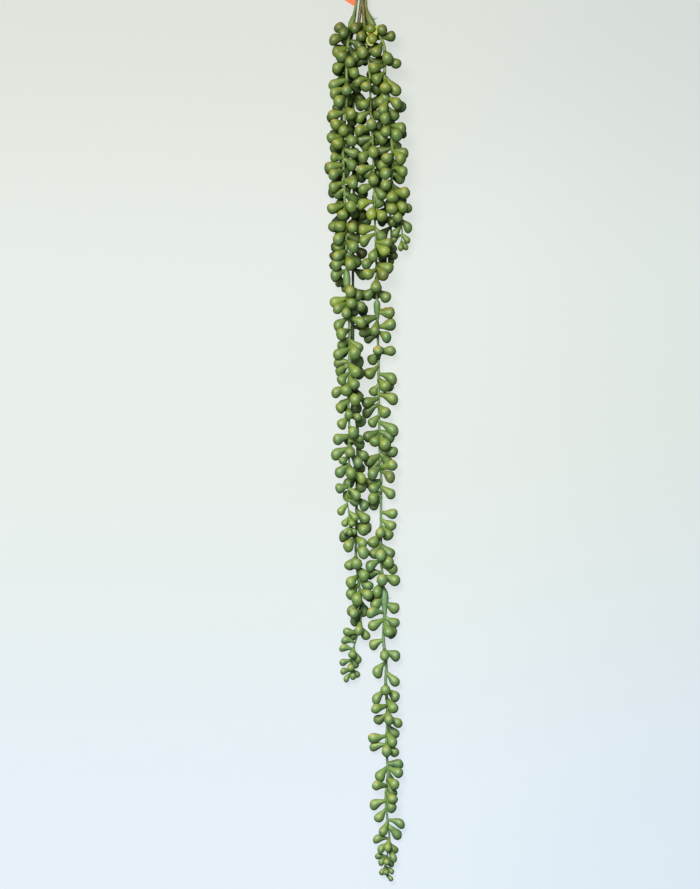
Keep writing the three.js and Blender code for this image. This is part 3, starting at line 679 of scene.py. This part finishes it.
tagLook = {
    "body": srgb(246, 96, 52), "fibre": srgb(255, 140, 92), "edge": srgb(252, 208, 184),
    "shares": {"fibre": 0.3, "patches": 0.15},
    "roughness": (0.57, 0.72), "relief": 0.3, "depth": 0.0002, "gloss": 0.4,
    "patches": {"Patch Scale": 700.0, "Grain Scale": 3500.0, "Grain Share": 0.6},
    "stretch": (1.0, 1.0, 1.0),
}


def leafSkin(mottle):
    skin = Skin("leafSkin", leafLook, mottle)
    tree, marks, span, lay, shares = skin.tree, skin.marks, skin.span, skin.lay, leafLook["shares"]
    spot = partsOf(tree, attribute(tree, "leafSpot", "Vector"))
    odd = partsOf(tree, attribute(tree, "leafOdd", "Vector"))
    litShare = attribute(tree, "leafBlush")
    facing = attribute(tree, "skyFacing")
    patches = marks["Patches"]
    lay("cool", span("tone", attribute(tree, "leafTone")))
    lay("bright", odd[1])
    # painted reflection: a blue-green tint on a few deep leaves
    lay("blue", odd[2])
    # a yellow-green flush in patches, and the same colour as painted light on the flank that faces the
    # light, more on some leaves than others
    lay("flushAndLitSide", patches)
    lit = span("lit", maths(tree, "ADD", facing, times(tree, patches, shares["litPatches"])))
    lay("flushAndLitSide", times(tree, lit, span("litBlush", litShare)), "lit")
    # painted highlight: a pale sheen on the bulb's faces that turn up and a little towards the light
    up = times(tree, attribute(tree, "upFacing"), shares["up"])
    towards = maths(tree, "ADD", up, times(tree, facing, shares["side"]))
    lay("paintedSheen", times(tree, span("sheen", towards), span("sheenAlong", spot[2])))
    # painted shade on the side facing away from the light
    lay("deep", span("shadowSide", facing))
    # an ochre tint near the tips, laid only on the edge that faces the light, so partly painted light
    edge = times(tree, span("tip", spot[2]), span("edge", facing))
    edge = times(tree, edge, span("edgePatches", patches))
    lay("tan", times(tree, edge, span("edgeBlush", litShare)))
    lay("brown", times(tree, odd[0], span("brown", spot[2])))
    lay("neck", span("neck", spot[2]))
    # painted shade on leaves hidden under others
    lay("shaded", attribute(tree, "leafCover"))
    skin.ageAndCrownShade()
    lay("deep", marks["Grain"], "grain")
    seam = span("seam", maths(tree, "ABSOLUTE", spot[1]))
    return skin.finish(maths(tree, "ADD", marks["Height"], times(tree, seam, shares["seam"])))


def stemSkin(mottle):
    skin = Skin("stemSkin", stemLook, mottle)
    tree, marks, span, lay = skin.tree, skin.marks, skin.span, skin.lay
    joint = attribute(tree, "stemJoint")
    lay("pale", marks["Patches"])
    lay("scar", marks["Grain"])
    lay("joint", joint)
    # painted highlight: the joints are paler on their tops that face up
    lay("pale", times(tree, joint, span("ridge", attribute(tree, "upFacing"))), "ridge")
    # painted shade on the side facing away from the light
    lay("shadowSide", span("shadowSide", attribute(tree, "skyFacing")))
    # painted shade on the back stems
    lay("deep", attribute(tree, "stemDeep"))
    skin.ageAndCrownShade()
    bare = times(tree, attribute(tree, "stemBare"), span("bare", marks["Patches"]))
    bark = mixed(tree, span("bark", marks["Grain"]), stemLook["bark"], stemLook["streak"])
    skin.body = mixed(tree, bare, skin.body, bark)
    return skin.finish()


def scrapSkin(kind, mottle):  # of a frill, a thorn or a torn leaf
    skin = Skin(kind + "Skin", scrapLook, mottle, kind)
    skin.lay(kind + "Spots", skin.marks["Patches"], "patches")
    skin.lay(kind + "Spots", skin.marks["Grain"], "grain")
    return skin.finish()


def crownSkin(mottle):
    skin = Skin("crownSkin", crownLook, mottle, "crack")
    skin.lay("body", skin.marks["Patches"])
    skin.lay("ridge", attribute(skin.tree, "barkRidge"))
    skin.lay("crack", skin.marks["Grain"])
    skin.lay("cut", attribute(skin.tree, "cutFace"))
    return skin.finish()


def tagSkin(mottle):
    skin = Skin("tagSkin", tagLook, mottle)
    skin.lay("fibre", skin.marks["Grain"])
    skin.lay("fibre", skin.marks["Patches"], "patches")
    skin.lay("edge", attribute(skin.tree, "cardEdge"))
    return skin.finish()


def newPiece(name, vertices, faces, edges=(), smooth=True):
    mesh = bpy.data.meshes.new(name)
    mesh.from_pydata(vertices, edges, faces)
    mesh.update()
    for face in mesh.polygons:
        face.use_smooth = smooth
    piece = bpy.data.objects.new(name, mesh)
    bpy.context.scene.collection.objects.link(piece)
    return piece


def setAttribute(mesh, name, kind, values):
    made = mesh.attributes.new(name, kind, "POINT")
    flat = [part for value in values for part in value] if kind == "FLOAT_VECTOR" else values
    made.data.foreach_set("vector" if kind == "FLOAT_VECTOR" else "value", flat)


def anglesOf(sides):  # once round
    return [2 * math.pi * k / sides for k in range(sides)]


def wallFaces(rings, sides):  # between each ring of corners and the next
    faces = []
    for low in range(0, (rings - 1) * sides, sides):
        for k in range(sides):
            after = (k + 1) % sides
            faces.append((low + k, low + after, low + sides + after, low + sides + k))
    return faces


# Rings of a unit leaf: share of its length, share of its radius. Its root is the origin, and its
# X points towards the stem's tip.
leafShape = {
    "sides": 9, "neckTo": 0.4, "pointFrom": 0.8, "pointing": 0.12,
    "rings": ((0, 0.33), (0.26, 0.49), (0.46, 0.76), (0.61, 0.95), (0.75, 1.0), (0.87, 0.84), (0.96, 0.5)),
    "kinds": (
        {"name": "plain", "bend": 0.05, "flat": 1.0, "point": 0.0, "neck": 1.0},
        {"name": "bent", "bend": 0.3, "flat": 0.97, "point": 0.0, "neck": 1.0},
        {"name": "long", "bend": 0.15, "flat": 0.94, "point": 0.6, "neck": 1.15},
        {"name": "crooked", "bend": 0.45, "flat": 1.0, "point": 0.0, "neck": 0.9},
        {"name": "round", "bend": -0.1, "flat": 1.04, "point": -0.3, "neck": 0.85},
    ),
}


def makeLeafShape(kind):
    sides = leafShape["sides"]
    vertices, spots = [], []
    for along, wide in leafShape["rings"]:
        if along < leafShape["neckTo"]:
            wide *= kind["neck"]
        if along > leafShape["pointFrom"]:
            wide *= 1 - leafShape["pointing"] * kind["point"]
        shift = -kind["bend"] * math.sin(math.pi * along)
        for angle in anglesOf(sides):
            x, y = wide * math.cos(angle), wide * math.sin(angle) * kind["flat"]
            vertices.append((x + shift, y, along))
            spots.append((x, y, along))
    vertices.append((0, 0, 1.0))
    spots.append((0, 0, 1))
    faces = [tuple(reversed(range(sides)))] + wallFaces(len(leafShape["rings"]), sides)
    pole = len(vertices) - 1
    faces += [(pole - sides + k, pole - sides + (k + 1) % sides, pole) for k in range(sides)]
    piece = newPiece("leaf_" + kind["name"], vertices, faces)
    setAttribute(piece.data, "leafSpot", "FLOAT_VECTOR", spots)
    setAttribute(piece.data, "onLeaf", "FLOAT", [1.0] * len(vertices))
    return piece


def makeLeafShapes():
    shelf = bpy.data.collections.new("leafShapes")
    for i, kind in enumerate(leafShape["kinds"]):
        piece = makeLeafShape(kind)
        piece.name = f"{i}_{piece.name}"  # the tree picks them in the order of their names
        bpy.context.scene.collection.objects.unlink(piece)
        shelf.objects.link(piece)
    return shelf


def makeLeafyStemTree():  # one tree for every leafy stem
    tree, given, out = newGroup(
        "leafyStem", "GeometryNodeTree",
        [("Geometry", "Geometry", None), ("Leaf Shapes", "Collection", None),
         ("Leaf Length", "Float", 1.0), ("Leaf Girth", "Float", 1.0),
         ("Stem Girth", "Float", 1.0),
         ("Stem Sides", "Int", 10), ("Tone Seed", "Int", 1),
         ("Light Side", "Vector", (-0.3, 0.75, 0.6)),
         ("Leaf Skin", "Material", None), ("Stem Skin", "Material", None)],
        [("Geometry", "Geometry")],
    )

    def made(kind, values, **settings):
        return node(tree, kind, values, **settings).outputs[0]

    def named(name, kind="FLOAT"):
        return made("GeometryNodeInputNamedAttribute", {"Name": name}, data_type=kind)

    def stored(geometry, name, value, domain="POINT"):
        values = {"Geometry": geometry, "Name": name, "Value": value}
        return made("GeometryNodeStoreNamedAttribute", values, data_type="FLOAT", domain=domain)

    def above(value, limit):
        return made("FunctionNodeCompare", {0: value, 1: limit}, operation="GREATER_THAN")

    thickness = named("thickness")
    values = {"Geometry": given["Geometry"], "Selection": above(thickness, 0.0)}
    parts = node(tree, "GeometryNodeSeparateGeometry", values).outputs
    line = made("GeometryNodeMeshToCurve", {"Mesh": parts["Selection"]})
    circle = made("GeometryNodeCurvePrimitiveCircle", {"Resolution": given["Stem Sides"], "Radius": 1.0})
    values = {
        "Curve": line, "Profile Curve": circle, "Scale": times(tree, thickness, given["Stem Girth"]),
        "Fill Caps": True,
    }
    tube = made("GeometryNodeSetShadeSmooth", {"Geometry": made("GeometryNodeCurveToMesh", values)})

    values = {"Vector": named("leafDirection", "FLOAT_VECTOR")}
    turned = made("FunctionNodeAlignRotationToVector", values, axis="Z")
    values = {"Rotation": turned, "Vector": named("stemAhead", "FLOAT_VECTOR")}
    turned = made("FunctionNodeAlignRotationToVector", values, axis="X", pivot_axis="Z")
    values = {"Collection": given["Leaf Shapes"], "Separate Children": True, "Reset Children": True}
    shapes = made("GeometryNodeCollectionInfo", values)
    values = {0: given["Leaf Girth"], 1: given["Leaf Girth"], 2: given["Leaf Length"]}
    values = {0: named("leafSize", "FLOAT_VECTOR"), 1: made("ShaderNodeCombineXYZ", values)}
    size = made("ShaderNodeVectorMath", values, operation="MULTIPLY")
    leaves = made("GeometryNodeInstanceOnPoints", {
        "Points": parts["Inverted"], "Instance": shapes, "Pick Instance": True,
        "Instance Index": named("leafKind", "INT"), "Rotation": turned, "Scale": size,
    })
    for title, shift in (("leafTone", 0), ("leafBlush", 1)):
        seed = maths(tree, "ADD", given["Tone Seed"], float(shift))
        chance = node(tree, "FunctionNodeRandomValue", {8: seed}, data_type="FLOAT").outputs[1]
        leaves = stored(leaves, title, chance, domain="INSTANCE")
    joined = node(tree, "GeometryNodeJoinGeometry")
    tree.links.new(leaves, joined.inputs[0])
    tree.links.new(tube, joined.inputs[0])
    whole = made("GeometryNodeRealizeInstances", {"Geometry": joined.outputs[0]})
    # how each point faces the light and faces up, from which the skins paint light and shade
    normal = tree.nodes.new("GeometryNodeInputNormal").outputs[0]
    side = made("ShaderNodeVectorMath", {0: given["Light Side"]}, operation="NORMALIZE")
    values = {0: normal, 1: side}
    facing = node(tree, "ShaderNodeVectorMath", values, operation="DOT_PRODUCT").outputs[1]
    whole = stored(whole, "skyFacing", facing)
    whole = stored(whole, "upFacing", partsOf(tree, normal)[2])
    whole = made("GeometryNodeSetMaterial", {"Geometry": whole, "Material": given["Stem Skin"]})
    values = {"Geometry": whole, "Selection": above(named("onLeaf"), 0.5), "Material": given["Leaf Skin"]}
    tree.links.new(made("GeometryNodeSetMaterial", values), out["Geometry"])
    return tree


def setInputs(modifier, values):
    for socket in modifier.node_group.interface.items_tree:
        if socket.item_type == "SOCKET" and socket.in_out == "INPUT" and socket.name in values:
            modifier[socket.identifier] = values[socket.name]


def plainMesh(piece):
    bpy.context.view_layer.update()
    evaluated = piece.evaluated_get(bpy.context.evaluated_depsgraph_get())
    mesh = bpy.data.meshes.new_from_object(evaluated)
    piece.modifiers.clear()
    piece.data = mesh
    for vertex in mesh.vertices:  # what touches the floor is pressed flat on it
        vertex.co.z = max(0, vertex.co.z)


treeSizes = {
    "Leaf Length": 0.98, "Leaf Girth": 1.1, "Stem Girth": 1.0, "Stem Sides": 10,
    "Light Side": (-0.35, 0.85, 0.4),
}
stemShape = {
    "step": 1.6,
    "bareEnds": (28, 48),  # where its bare brown top fades out
    "leaning": ((0, 0), (6, 0), (22, 1), (34, 1), (58, 0)),  # share of its lean, by distance
    "swell": 0.32, "swellReach": 1.6, "swellFull": 1.2,  # at each leaf's root
    "jointFull": 1.5,  # how far a joint stands out where its own colour is full
    "tipLeast": 0.35, "tipRun": 3,  # how thin its very tip is, and how soon it is whole
    "backShade": 0.6,  # painted shade: how dark the back stems are, which lie below the front ones
    "leafGirths": ((-440, 0.86), (-300, 0.92), (-100, 1)),  # lower leaves are slimmer: by y
}


def alongTable(pairs, value):
    for (a, low), (b, high) in zip(pairs, pairs[1:]):
        if value <= b:
            share = (value - a) / (b - a)
            return low + (high - low) * share
    return pairs[-1][1]


def stemThickness(stem, place):
    radius = alongTable(stem["thin"], place)
    joint = 0
    for table in stem["joints"]:
        profile = [(distanceAtRow(stem["fine"], row), wide) for row, wide in table]
        if profile[0][0] < place < profile[-1][0]:
            wide = alongTable(profile, place)
            joint = min(1, max(0, wide - radius) / stemShape["jointFull"])
            radius = max(radius, wide)
    near = (abs(place - leaf["place"]) for leaf in stem["leaves"])
    swell = max((1 - away / stemShape["swellReach"] for away in near), default=0)
    radius += stemShape["swell"] * max(0, swell) * min(1, radius / stemShape["swellFull"])
    left = stem["fine"]["length"] - place
    return radius * min(1, stemShape["tipLeast"] + left / stemShape["tipRun"]), joint


def leaningPlace(stem, place):
    lean = Vector((stem["lean"], 0, 0))
    return placeAt(stem["fine"], place)[0] + lean * alongTable(stemShape["leaning"], place)


def makeStem(stem, tree, shapes, leafMaterial, stemMaterial):
    fine = stem["fine"]
    steps = round(fine["length"] / stemShape["step"])
    places = [fine["length"] * i / steps for i in range(steps + 1)]
    vertices = [leaningPlace(stem, place) * mm for place in places]
    edges = [(i, i + 1) for i in range(steps)]
    shaped = [stemThickness(stem, place) for place in places]
    leaves = stem["leaves"]
    draw = drawsFrom(stem["seed"] + leafRule["kindSeed"])
    kinds = len(leafShape["kinds"])
    piece = newPiece(stem["piece"], vertices + [leaf["point"] * mm for leaf in leaves], [], edges)
    onLine, onLeaves = [0.0] * len(places), [0.0] * len(leaves)
    flat = [(0, 0, 0)] * len(places)
    fadeFrom, fadeTo = stemShape["bareEnds"]
    faded = [min(1, max(0, (place - fadeFrom) / (fadeTo - fadeFrom))) for place in places]
    deep = stemShape["backShade"] if stem["socket"][1] == "back" else 0.0
    grown = [leaf["size"] ** -stem["plump"] * mm for leaf in leaves]
    girths = [leaf["radius"] * alongTable(stemShape["leafGirths"], leaf["point"].y) for leaf in leaves]
    sizes = [
        (girth * more, girth * more, leaf["length"] * more)
        for leaf, girth, more in zip(leaves, girths, grown)
    ]
    for name, kind, values in (
        ("thickness", "FLOAT", [radius * mm for radius, _ in shaped] + onLeaves),
        ("stemJoint", "FLOAT", [joint for _, joint in shaped] + onLeaves),
        ("stemBare", "FLOAT", [stem["bare"] * (1 - share) for share in faded] + onLeaves),
        ("stemDeep", "FLOAT", [deep] * len(places) + onLeaves),
        ("leafCover", "FLOAT", onLine + [leaf["cover"] for leaf in leaves]),
        ("leafOdd", "FLOAT_VECTOR", flat + [tuple(leaf["odd"].values()) for leaf in leaves]),
        ("leafDirection", "FLOAT_VECTOR", flat + [leaf["direction"] for leaf in leaves]),
        ("stemAhead", "FLOAT_VECTOR", flat + [leaf["ahead"] for leaf in leaves]),
        ("leafSize", "FLOAT_VECTOR", flat + sizes),
        ("leafKind", "INT", [0] * len(places) + [min(int(draw() * kinds), kinds - 1) for _ in leaves]),
    ):
        setAttribute(piece.data, name, kind, values)
    modifier = piece.modifiers.new("leafyStem", "NODES")
    modifier.node_group = tree
    setInputs(modifier, {
        **treeSizes, "Leaf Shapes": shapes, "Tone Seed": stem["seed"],
        "Leaf Skin": leafMaterial, "Stem Skin": stemMaterial,
    })
    plainMesh(piece)
    print(stem["piece"], len(piece.data.polygons), "faces")
    return piece


# Small odd growth. A frill is a thin wavy rim on the leaf at a column and row, from one angle to
# another about its bulb. A thorn or a torn leaf grows from a stem at a row.
frills = (
    {"spot": (371, 29), "from": -150, "to": 35, "width": 2.6, "wave": 0.9, "waves": 2.5},
    {"spot": (371, 40), "from": 150, "to": 275, "width": 0.8, "wave": 0.3, "waves": 1},
)
thorns = (
    {"node": "stem_front_right", "row": 21, "turn": 25, "length": 7.5, "radius": 0.7},
    {"node": "stem_front_right", "row": 22, "turn": 62, "length": 6.2, "radius": 0.6},
    {"node": "stem_front_middle", "row": 277, "turn": 62, "length": 4.2, "radius": 0.6},
    {"node": "stem_front_middle", "row": 601, "turn": 25, "length": 7.5, "radius": 0.35},
    {"node": "stem_front_left", "row": 24, "turn": 160, "length": 5.2, "radius": 0.3},
)
tornLeaf = {
    "node": "stem_front_middle", "row": 311, "turn": 14, "start": 2.5, "length": 10.5, "rise": 0.35,
    "widths": ((0, 0.5), (0.2, 1.6), (0.45, 1.1), (0.6, 1.7), (0.8, 0.8), (0.95, 0.9), (1, 0.2)),
    "ripples": ((0.5, 11), (0.2, 29)), "sideRise": 0.5,
}
scrapShape = {
    "sides": 8, "steps": 24, "halfThickness": 0.28,
    "frillSunk": 0.8, "frillRise": 0.12, "frillEnds": 0.1, "frillRipple": 0.25,
    "thornRise": 0.1, "thornSteps": 6, "thornTaper": 0.85,
}


def ribbon(spine, across, wide, thick):  # closed, round in section, flat where thick is small
    sides, count = scrapShape["sides"], len(spine)
    vertices = []
    for i, centre in enumerate(spine):
        ahead = (spine[min(i + 1, count - 1)] - spine[max(i - 1, 0)]).normalized()
        side = (across[i] - ahead * across[i].dot(ahead)).normalized()
        up = ahead.cross(side)
        for angle in anglesOf(sides):
            vertices.append(centre + side * wide[i] * math.cos(angle) + up * thick[i] * math.sin(angle))
    faces = [tuple(reversed(range(sides))), tuple(range((count - 1) * sides, count * sides))]
    return vertices, faces + wallFaces(count, sides)


def makeScraps(name, parts, material):
    vertices, faces = [], []
    for partVertices, partFaces in parts:
        faces += [tuple(len(vertices) + corner for corner in face) for face in partFaces]
        vertices += [vertex * mm for vertex in partVertices]
    piece = newPiece(name, vertices, faces)
    piece.data.materials.append(material)
    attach(piece, "root")


def frillPart(frill, leaves):
    leaf = leafAt(leaves, *frill["spot"])
    centre, steps = bulbOf(leaf), scrapShape["steps"]
    radius = leaf["radius"] * treeSizes["Leaf Girth"]
    inner, ends = radius * scrapShape["frillSunk"], scrapShape["frillEnds"]
    spine, across, wide = [], [], []
    for i in range(steps + 1):
        share = i / steps
        angle = math.radians(frill["from"] + (frill["to"] - frill["from"]) * share)
        wave = math.sin(2 * math.pi * frill["waves"] * share)
        out = Vector((math.cos(angle), math.sin(angle), scrapShape["frillRise"]))
        proud = frill["width"] * (ends + (1 - ends) * math.sin(math.pi * share))
        outer = radius + proud * (1 + scrapShape["frillRipple"] * wave)
        spine.append(centre + out * (inner + outer) / 2 + Vector((0, 0, frill["wave"] * wave)))
        across.append(out.normalized())
        wide.append((outer - inner) / 2)
    return ribbon(spine, across, wide, [scrapShape["halfThickness"]] * len(spine))


def outOfStem(scrap, rise):
    stem = next(stem for stem in stems if stem["node"] == scrap["node"])
    root = leaningPlace(stem, distanceAtRow(stem["fine"], scrap["row"]))
    turn = math.radians(scrap["turn"])
    return root, Vector((math.cos(turn), math.sin(turn), rise)).normalized()


def thornPart(thorn):
    root, out = outOfStem(thorn, scrapShape["thornRise"])
    steps = scrapShape["thornSteps"]
    spine = [root + out * thorn["length"] * i / steps for i in range(steps + 1)]
    wide = [thorn["radius"] * (1 - scrapShape["thornTaper"] * i / steps) for i in range(steps + 1)]
    return ribbon(spine, [Vector((0, 0, 1))] * len(spine), wide, wide)


def tornPart(torn):
    root, out = outOfStem(torn, torn["rise"])
    side = Vector((-out.y, out.x, torn["sideRise"])).normalized()
    steps = scrapShape["steps"]
    spine, wide = [], []
    for i in range(steps + 1):
        share = i / steps
        ripple = sum(high * math.sin(share * often) for high, often in torn["ripples"])
        spine.append(root + out * (torn["start"] + torn["length"] * share) + side * ripple)
        wide.append(alongTable(torn["widths"], share))
    return ribbon(spine, [side] * len(spine), wide, [scrapShape["halfThickness"]] * len(spine))


def makeOddGrowth(mottle):
    leaves = [leaf for stem in stems for leaf in stem["leaves"]]
    makeScraps("leafFrills", [frillPart(frill, leaves) for frill in frills], scrapSkin("frill", mottle))
    makeScraps("thorns", [thornPart(thorn) for thorn in thorns], scrapSkin("thorn", mottle))
    makeScraps("tornLeaf", [tornPart(tornLeaf)], scrapSkin("torn", mottle))


crownShape = {
    "x": -3.3, "y": 403, "z": 6.53, "length": 41, "halfWidth": 7.9, "flatness": 0.7,
    "outline": ((0, 0.86), (0.09, 0.97), (0.26, 0.84), (0.46, 0.56), (0.75, 0.53), (1, 0.515)),
    "sides": 40, "rings": 60, "shy": 0.02, "insets": (0.8, 0.86),
    "ridges": 0.045, "around": 2.2, "along": 3.2, "coarse": 1.6, "fine": 4, "fineShare": 0.5,
    "firstRim": 12, "lastRim": 25,  # how fast the ridges grow away from each end
}


def makeCrown(material):
    shape = crownShape
    sides, rings, around = shape["sides"], shape["rings"], shape["around"]
    vertices, ridge, cut = [], [], []
    for i in range(rings + 1):
        share = i / rings
        wide = alongTable(shape["outline"], share)
        rim = min(1, share * shape["firstRim"], (1 - share) * shape["lastRim"])
        for angle in anglesOf(sides):
            spot = Vector((math.cos(angle) * around, share * shape["along"], math.sin(angle) * around))
            bark = noise.noise(spot * shape["coarse"])
            bark += shape["fineShare"] * noise.noise(spot * shape["fine"])
            groove = shape["ridges"] * (0.5 - 0.5 * bark) * rim
            radius = shape["halfWidth"] * (wide - shape["shy"] - groove)
            vertices.append((
                shape["x"] * mm + radius * mm * math.cos(angle),
                (shape["y"] + shape["length"] * share) * mm,
                shape["z"] * mm + radius * mm * math.sin(angle) * shape["flatness"],
            ))
            ridge.append(max(0, bark) * rim)
            cut.append(0.0)
    faces = [(b, a, d, c) for a, b, c, d in wallFaces(rings + 1, sides)]  # turned to face outwards
    firstInset, lastInset = shape["insets"]
    for end, inset, flip in ((0, firstInset, False), (rings, lastInset, True)):
        middle = len(vertices)
        centre = Vector((shape["x"] * mm, vertices[end * sides][1], shape["z"] * mm))
        ring = [Vector(vertices[end * sides + k]) for k in range(sides)]
        vertices += [tuple(centre.lerp(corner, inset)) for corner in ring] + [tuple(centre)]
        ridge += [0.0] * (sides + 1)
        cut += [1.0 if flip else 0.0] * (sides + 1)
        for k in range(sides):
            after = (k + 1) % sides
            inner = (middle + k, middle + after)
            band = (end * sides + k, end * sides + after, inner[1], inner[0])
            tip = (inner[0], inner[1], middle + sides)
            faces.append(tuple(reversed(band)) if flip else band)
            faces.append(tuple(reversed(tip)) if flip else tip)
    piece = newPiece("mainStem", vertices, faces)
    setAttribute(piece.data, "barkRidge", "FLOAT", ridge)
    setAttribute(piece.data, "cutFace", "FLOAT", cut)
    piece.data.materials.append(material)
    return piece


tagShape = {
    "x": -10.2, "y": 388.4, "tilt": 57, "length": 38, "width": 24, "corner": 2, "thickness": 0.55,
    "cornerSteps": 8, "bevel": 0.08, "lift": 0.02,
}


def makeTag(material):
    length, width, corner = tagShape["length"], tagShape["width"], tagShape["corner"]
    outline = []
    for turn, x, y in ((-90, length - corner, corner), (0, length - corner, width - corner),
                       (90, corner, width - corner), (180, corner, corner)):
        for k in range(tagShape["cornerSteps"] + 1):
            angle = math.radians(turn + 90 * k / tagShape["cornerSteps"])
            outline.append((x + corner * math.cos(angle), y + corner * math.sin(angle)))
    middle = Vector((length / 2, width / 2))
    bevel, top = tagShape["bevel"], tagShape["thickness"]
    vertices, edge = [], []
    for inset, height in ((bevel, 0), (0, bevel), (0, top - bevel), (bevel, top)):
        for x, y in outline:
            inward = (middle - Vector((x, y))).normalized() * inset
            vertices.append(Vector((x + inward.x, y + inward.y, height)))
            edge.append(1.0 if inset == 0 else 0.0)
    count = len(outline)
    faces = [tuple(reversed(range(count))), tuple(range(3 * count, 4 * count))]
    faces += wallFaces(4, count)
    turned = Matrix.Rotation(math.radians(tagShape["tilt"]), 3, "Z")
    place = Vector((tagShape["x"], tagShape["y"], tagShape["lift"]))
    piece = newPiece("tag", [(turned @ vertex + place) * mm for vertex in vertices], faces, smooth=False)
    setAttribute(piece.data, "cardEdge", "FLOAT", edge)
    piece.data.materials.append(material)
    return piece


stageLook = {
    "top": srgb(222, 226, 220), "middle": srgb(233, 239, 233), "bottom": srgb(232, 243, 252),
    "side": srgb(246, 248, 250), "dust": (0.7, 0.7, 0.7, 1), "grain": 0.02,
    "toBottom": (0.05, -0.45), "toTop": (0.1, 0.42), "toSide": (0.02, 0.34),
    "noise": {"Scale": 40.0, "Detail": 4.0},
    "glow": 0.84, "bounce": 0.11, "roughness": 0.9, "gloss": 0.1, "half": 3.0, "drop": 0.0001,
}
lightLook = {
    "world": (0.95, 0.98, 1.0), "worldStrength": 0.3,
    "key": {"place": (-0.9, 1.5, 3.6), "size": (1.7, 1.7), "power": 208, "colour": (1.0, 0.99, 0.95)},
}
view = {"x": -14.25, "y": -28.3, "z": 18, "height": 844.55, "lens": 500, "sensor": 36, "clip": 1000}


def makeFloor():  # it glows a little, so that only faint shadows show on it
    look = stageLook
    half, drop = look["half"], look["drop"]
    corners = [(x * half, y * half, -drop) for x, y in ((-1, -1), (1, -1), (1, 1), (-1, 1))]
    floor = newPiece("floor", corners, [(0, 1, 2, 3)], smooth=False)
    material, tree, skin = newMaterial("floorFinish")
    place = node(tree, "ShaderNodeTexCoord").outputs["Object"]
    across, height, _ = partsOf(tree, place)
    body = mixed(tree, between(tree, height, *look["toBottom"]), look["middle"], look["bottom"])
    body = mixed(tree, between(tree, height, *look["toTop"]), body, look["top"])
    body = mixed(tree, between(tree, across, *look["toSide"]), body, look["side"], "MULTIPLY")
    grain = node(tree, "ShaderNodeTexNoise", {"Vector": place, **look["noise"]}).outputs[0]
    body = mixed(tree, times(tree, grain, look["grain"]), body, look["dust"], "MULTIPLY")
    seen = node(tree, "ShaderNodeLightPath").outputs["Is Camera Ray"]
    tree.links.new(body, skin.inputs["Emission Color"])
    tree.links.new(times(tree, seen, look["glow"]), skin.inputs["Emission Strength"])
    values = {"Color": body, "Value": look["bounce"]}
    tree.links.new(node(tree, "ShaderNodeHueSaturation", values).outputs[0], skin.inputs["Base Color"])
    skin.inputs["Roughness"].default_value = look["roughness"]
    skin.inputs["Specular IOR Level"].default_value = look["gloss"]
    floor.data.materials.append(material)


def makeLight():
    world = bpy.data.worlds.new("studio")
    world.use_nodes = True
    background = world.node_tree.nodes["Background"]
    background.inputs[0].default_value = (*lightLook["world"], 1)
    background.inputs[1].default_value = lightLook["worldStrength"]
    bpy.context.scene.world = world
    key = lightLook["key"]
    light = bpy.data.lights.new("keySoftbox", "AREA")
    light.shape = "RECTANGLE"
    light.size, light.size_y = key["size"]
    light.energy = key["power"]
    light.color = key["colour"]
    lamp = bpy.data.objects.new("keySoftbox", light)
    lamp.location = key["place"]
    lamp.rotation_mode = "QUATERNION"
    lamp.rotation_quaternion = (-Vector(key["place"])).to_track_quat("-Z", "Y")
    bpy.context.scene.collection.objects.link(lamp)
    bpy.context.scene.view_settings.view_transform = "Standard"
    bpy.context.scene.view_settings.look = "None"


def makeCamera():
    camera = bpy.data.cameras.new("camera")
    camera.lens = view["lens"]
    camera.sensor_width = view["sensor"]
    camera.sensor_fit = "AUTO"
    camera.clip_end = view["clip"]
    distance = view["height"] * view["lens"] / view["sensor"]
    holder = bpy.data.objects.new("camera", camera)
    holder.location = (view["x"] * mm, view["y"] * mm, (view["z"] + distance) * mm)
    bpy.context.scene.collection.objects.link(holder)
    bpy.context.scene.camera = holder


def settle(piece, nodeName):
    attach(piece, "root")
    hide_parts(nodeName)


makeCamera()
makeLight()
makeFloor()
growAll()
mottle = makeMottle()
leafMaterial = leafSkin(mottle)
stemMaterial = stemSkin(mottle)
leafShapes = makeLeafShapes()
leafyStem = makeLeafyStemTree()
print("shapes and finishes ready")
for stem in stems:
    settle(makeStem(stem, leafyStem, leafShapes, leafMaterial, stemMaterial), stem["node"])
for shape in list(leafShapes.objects):
    bpy.data.objects.remove(shape)
bpy.data.collections.remove(leafShapes)
makeOddGrowth(mottle)
settle(makeCrown(crownSkin(mottle)), "main_stem")
settle(makeTag(tagSkin(mottle)), "tag")
print("odd growth, main stem and tag made")
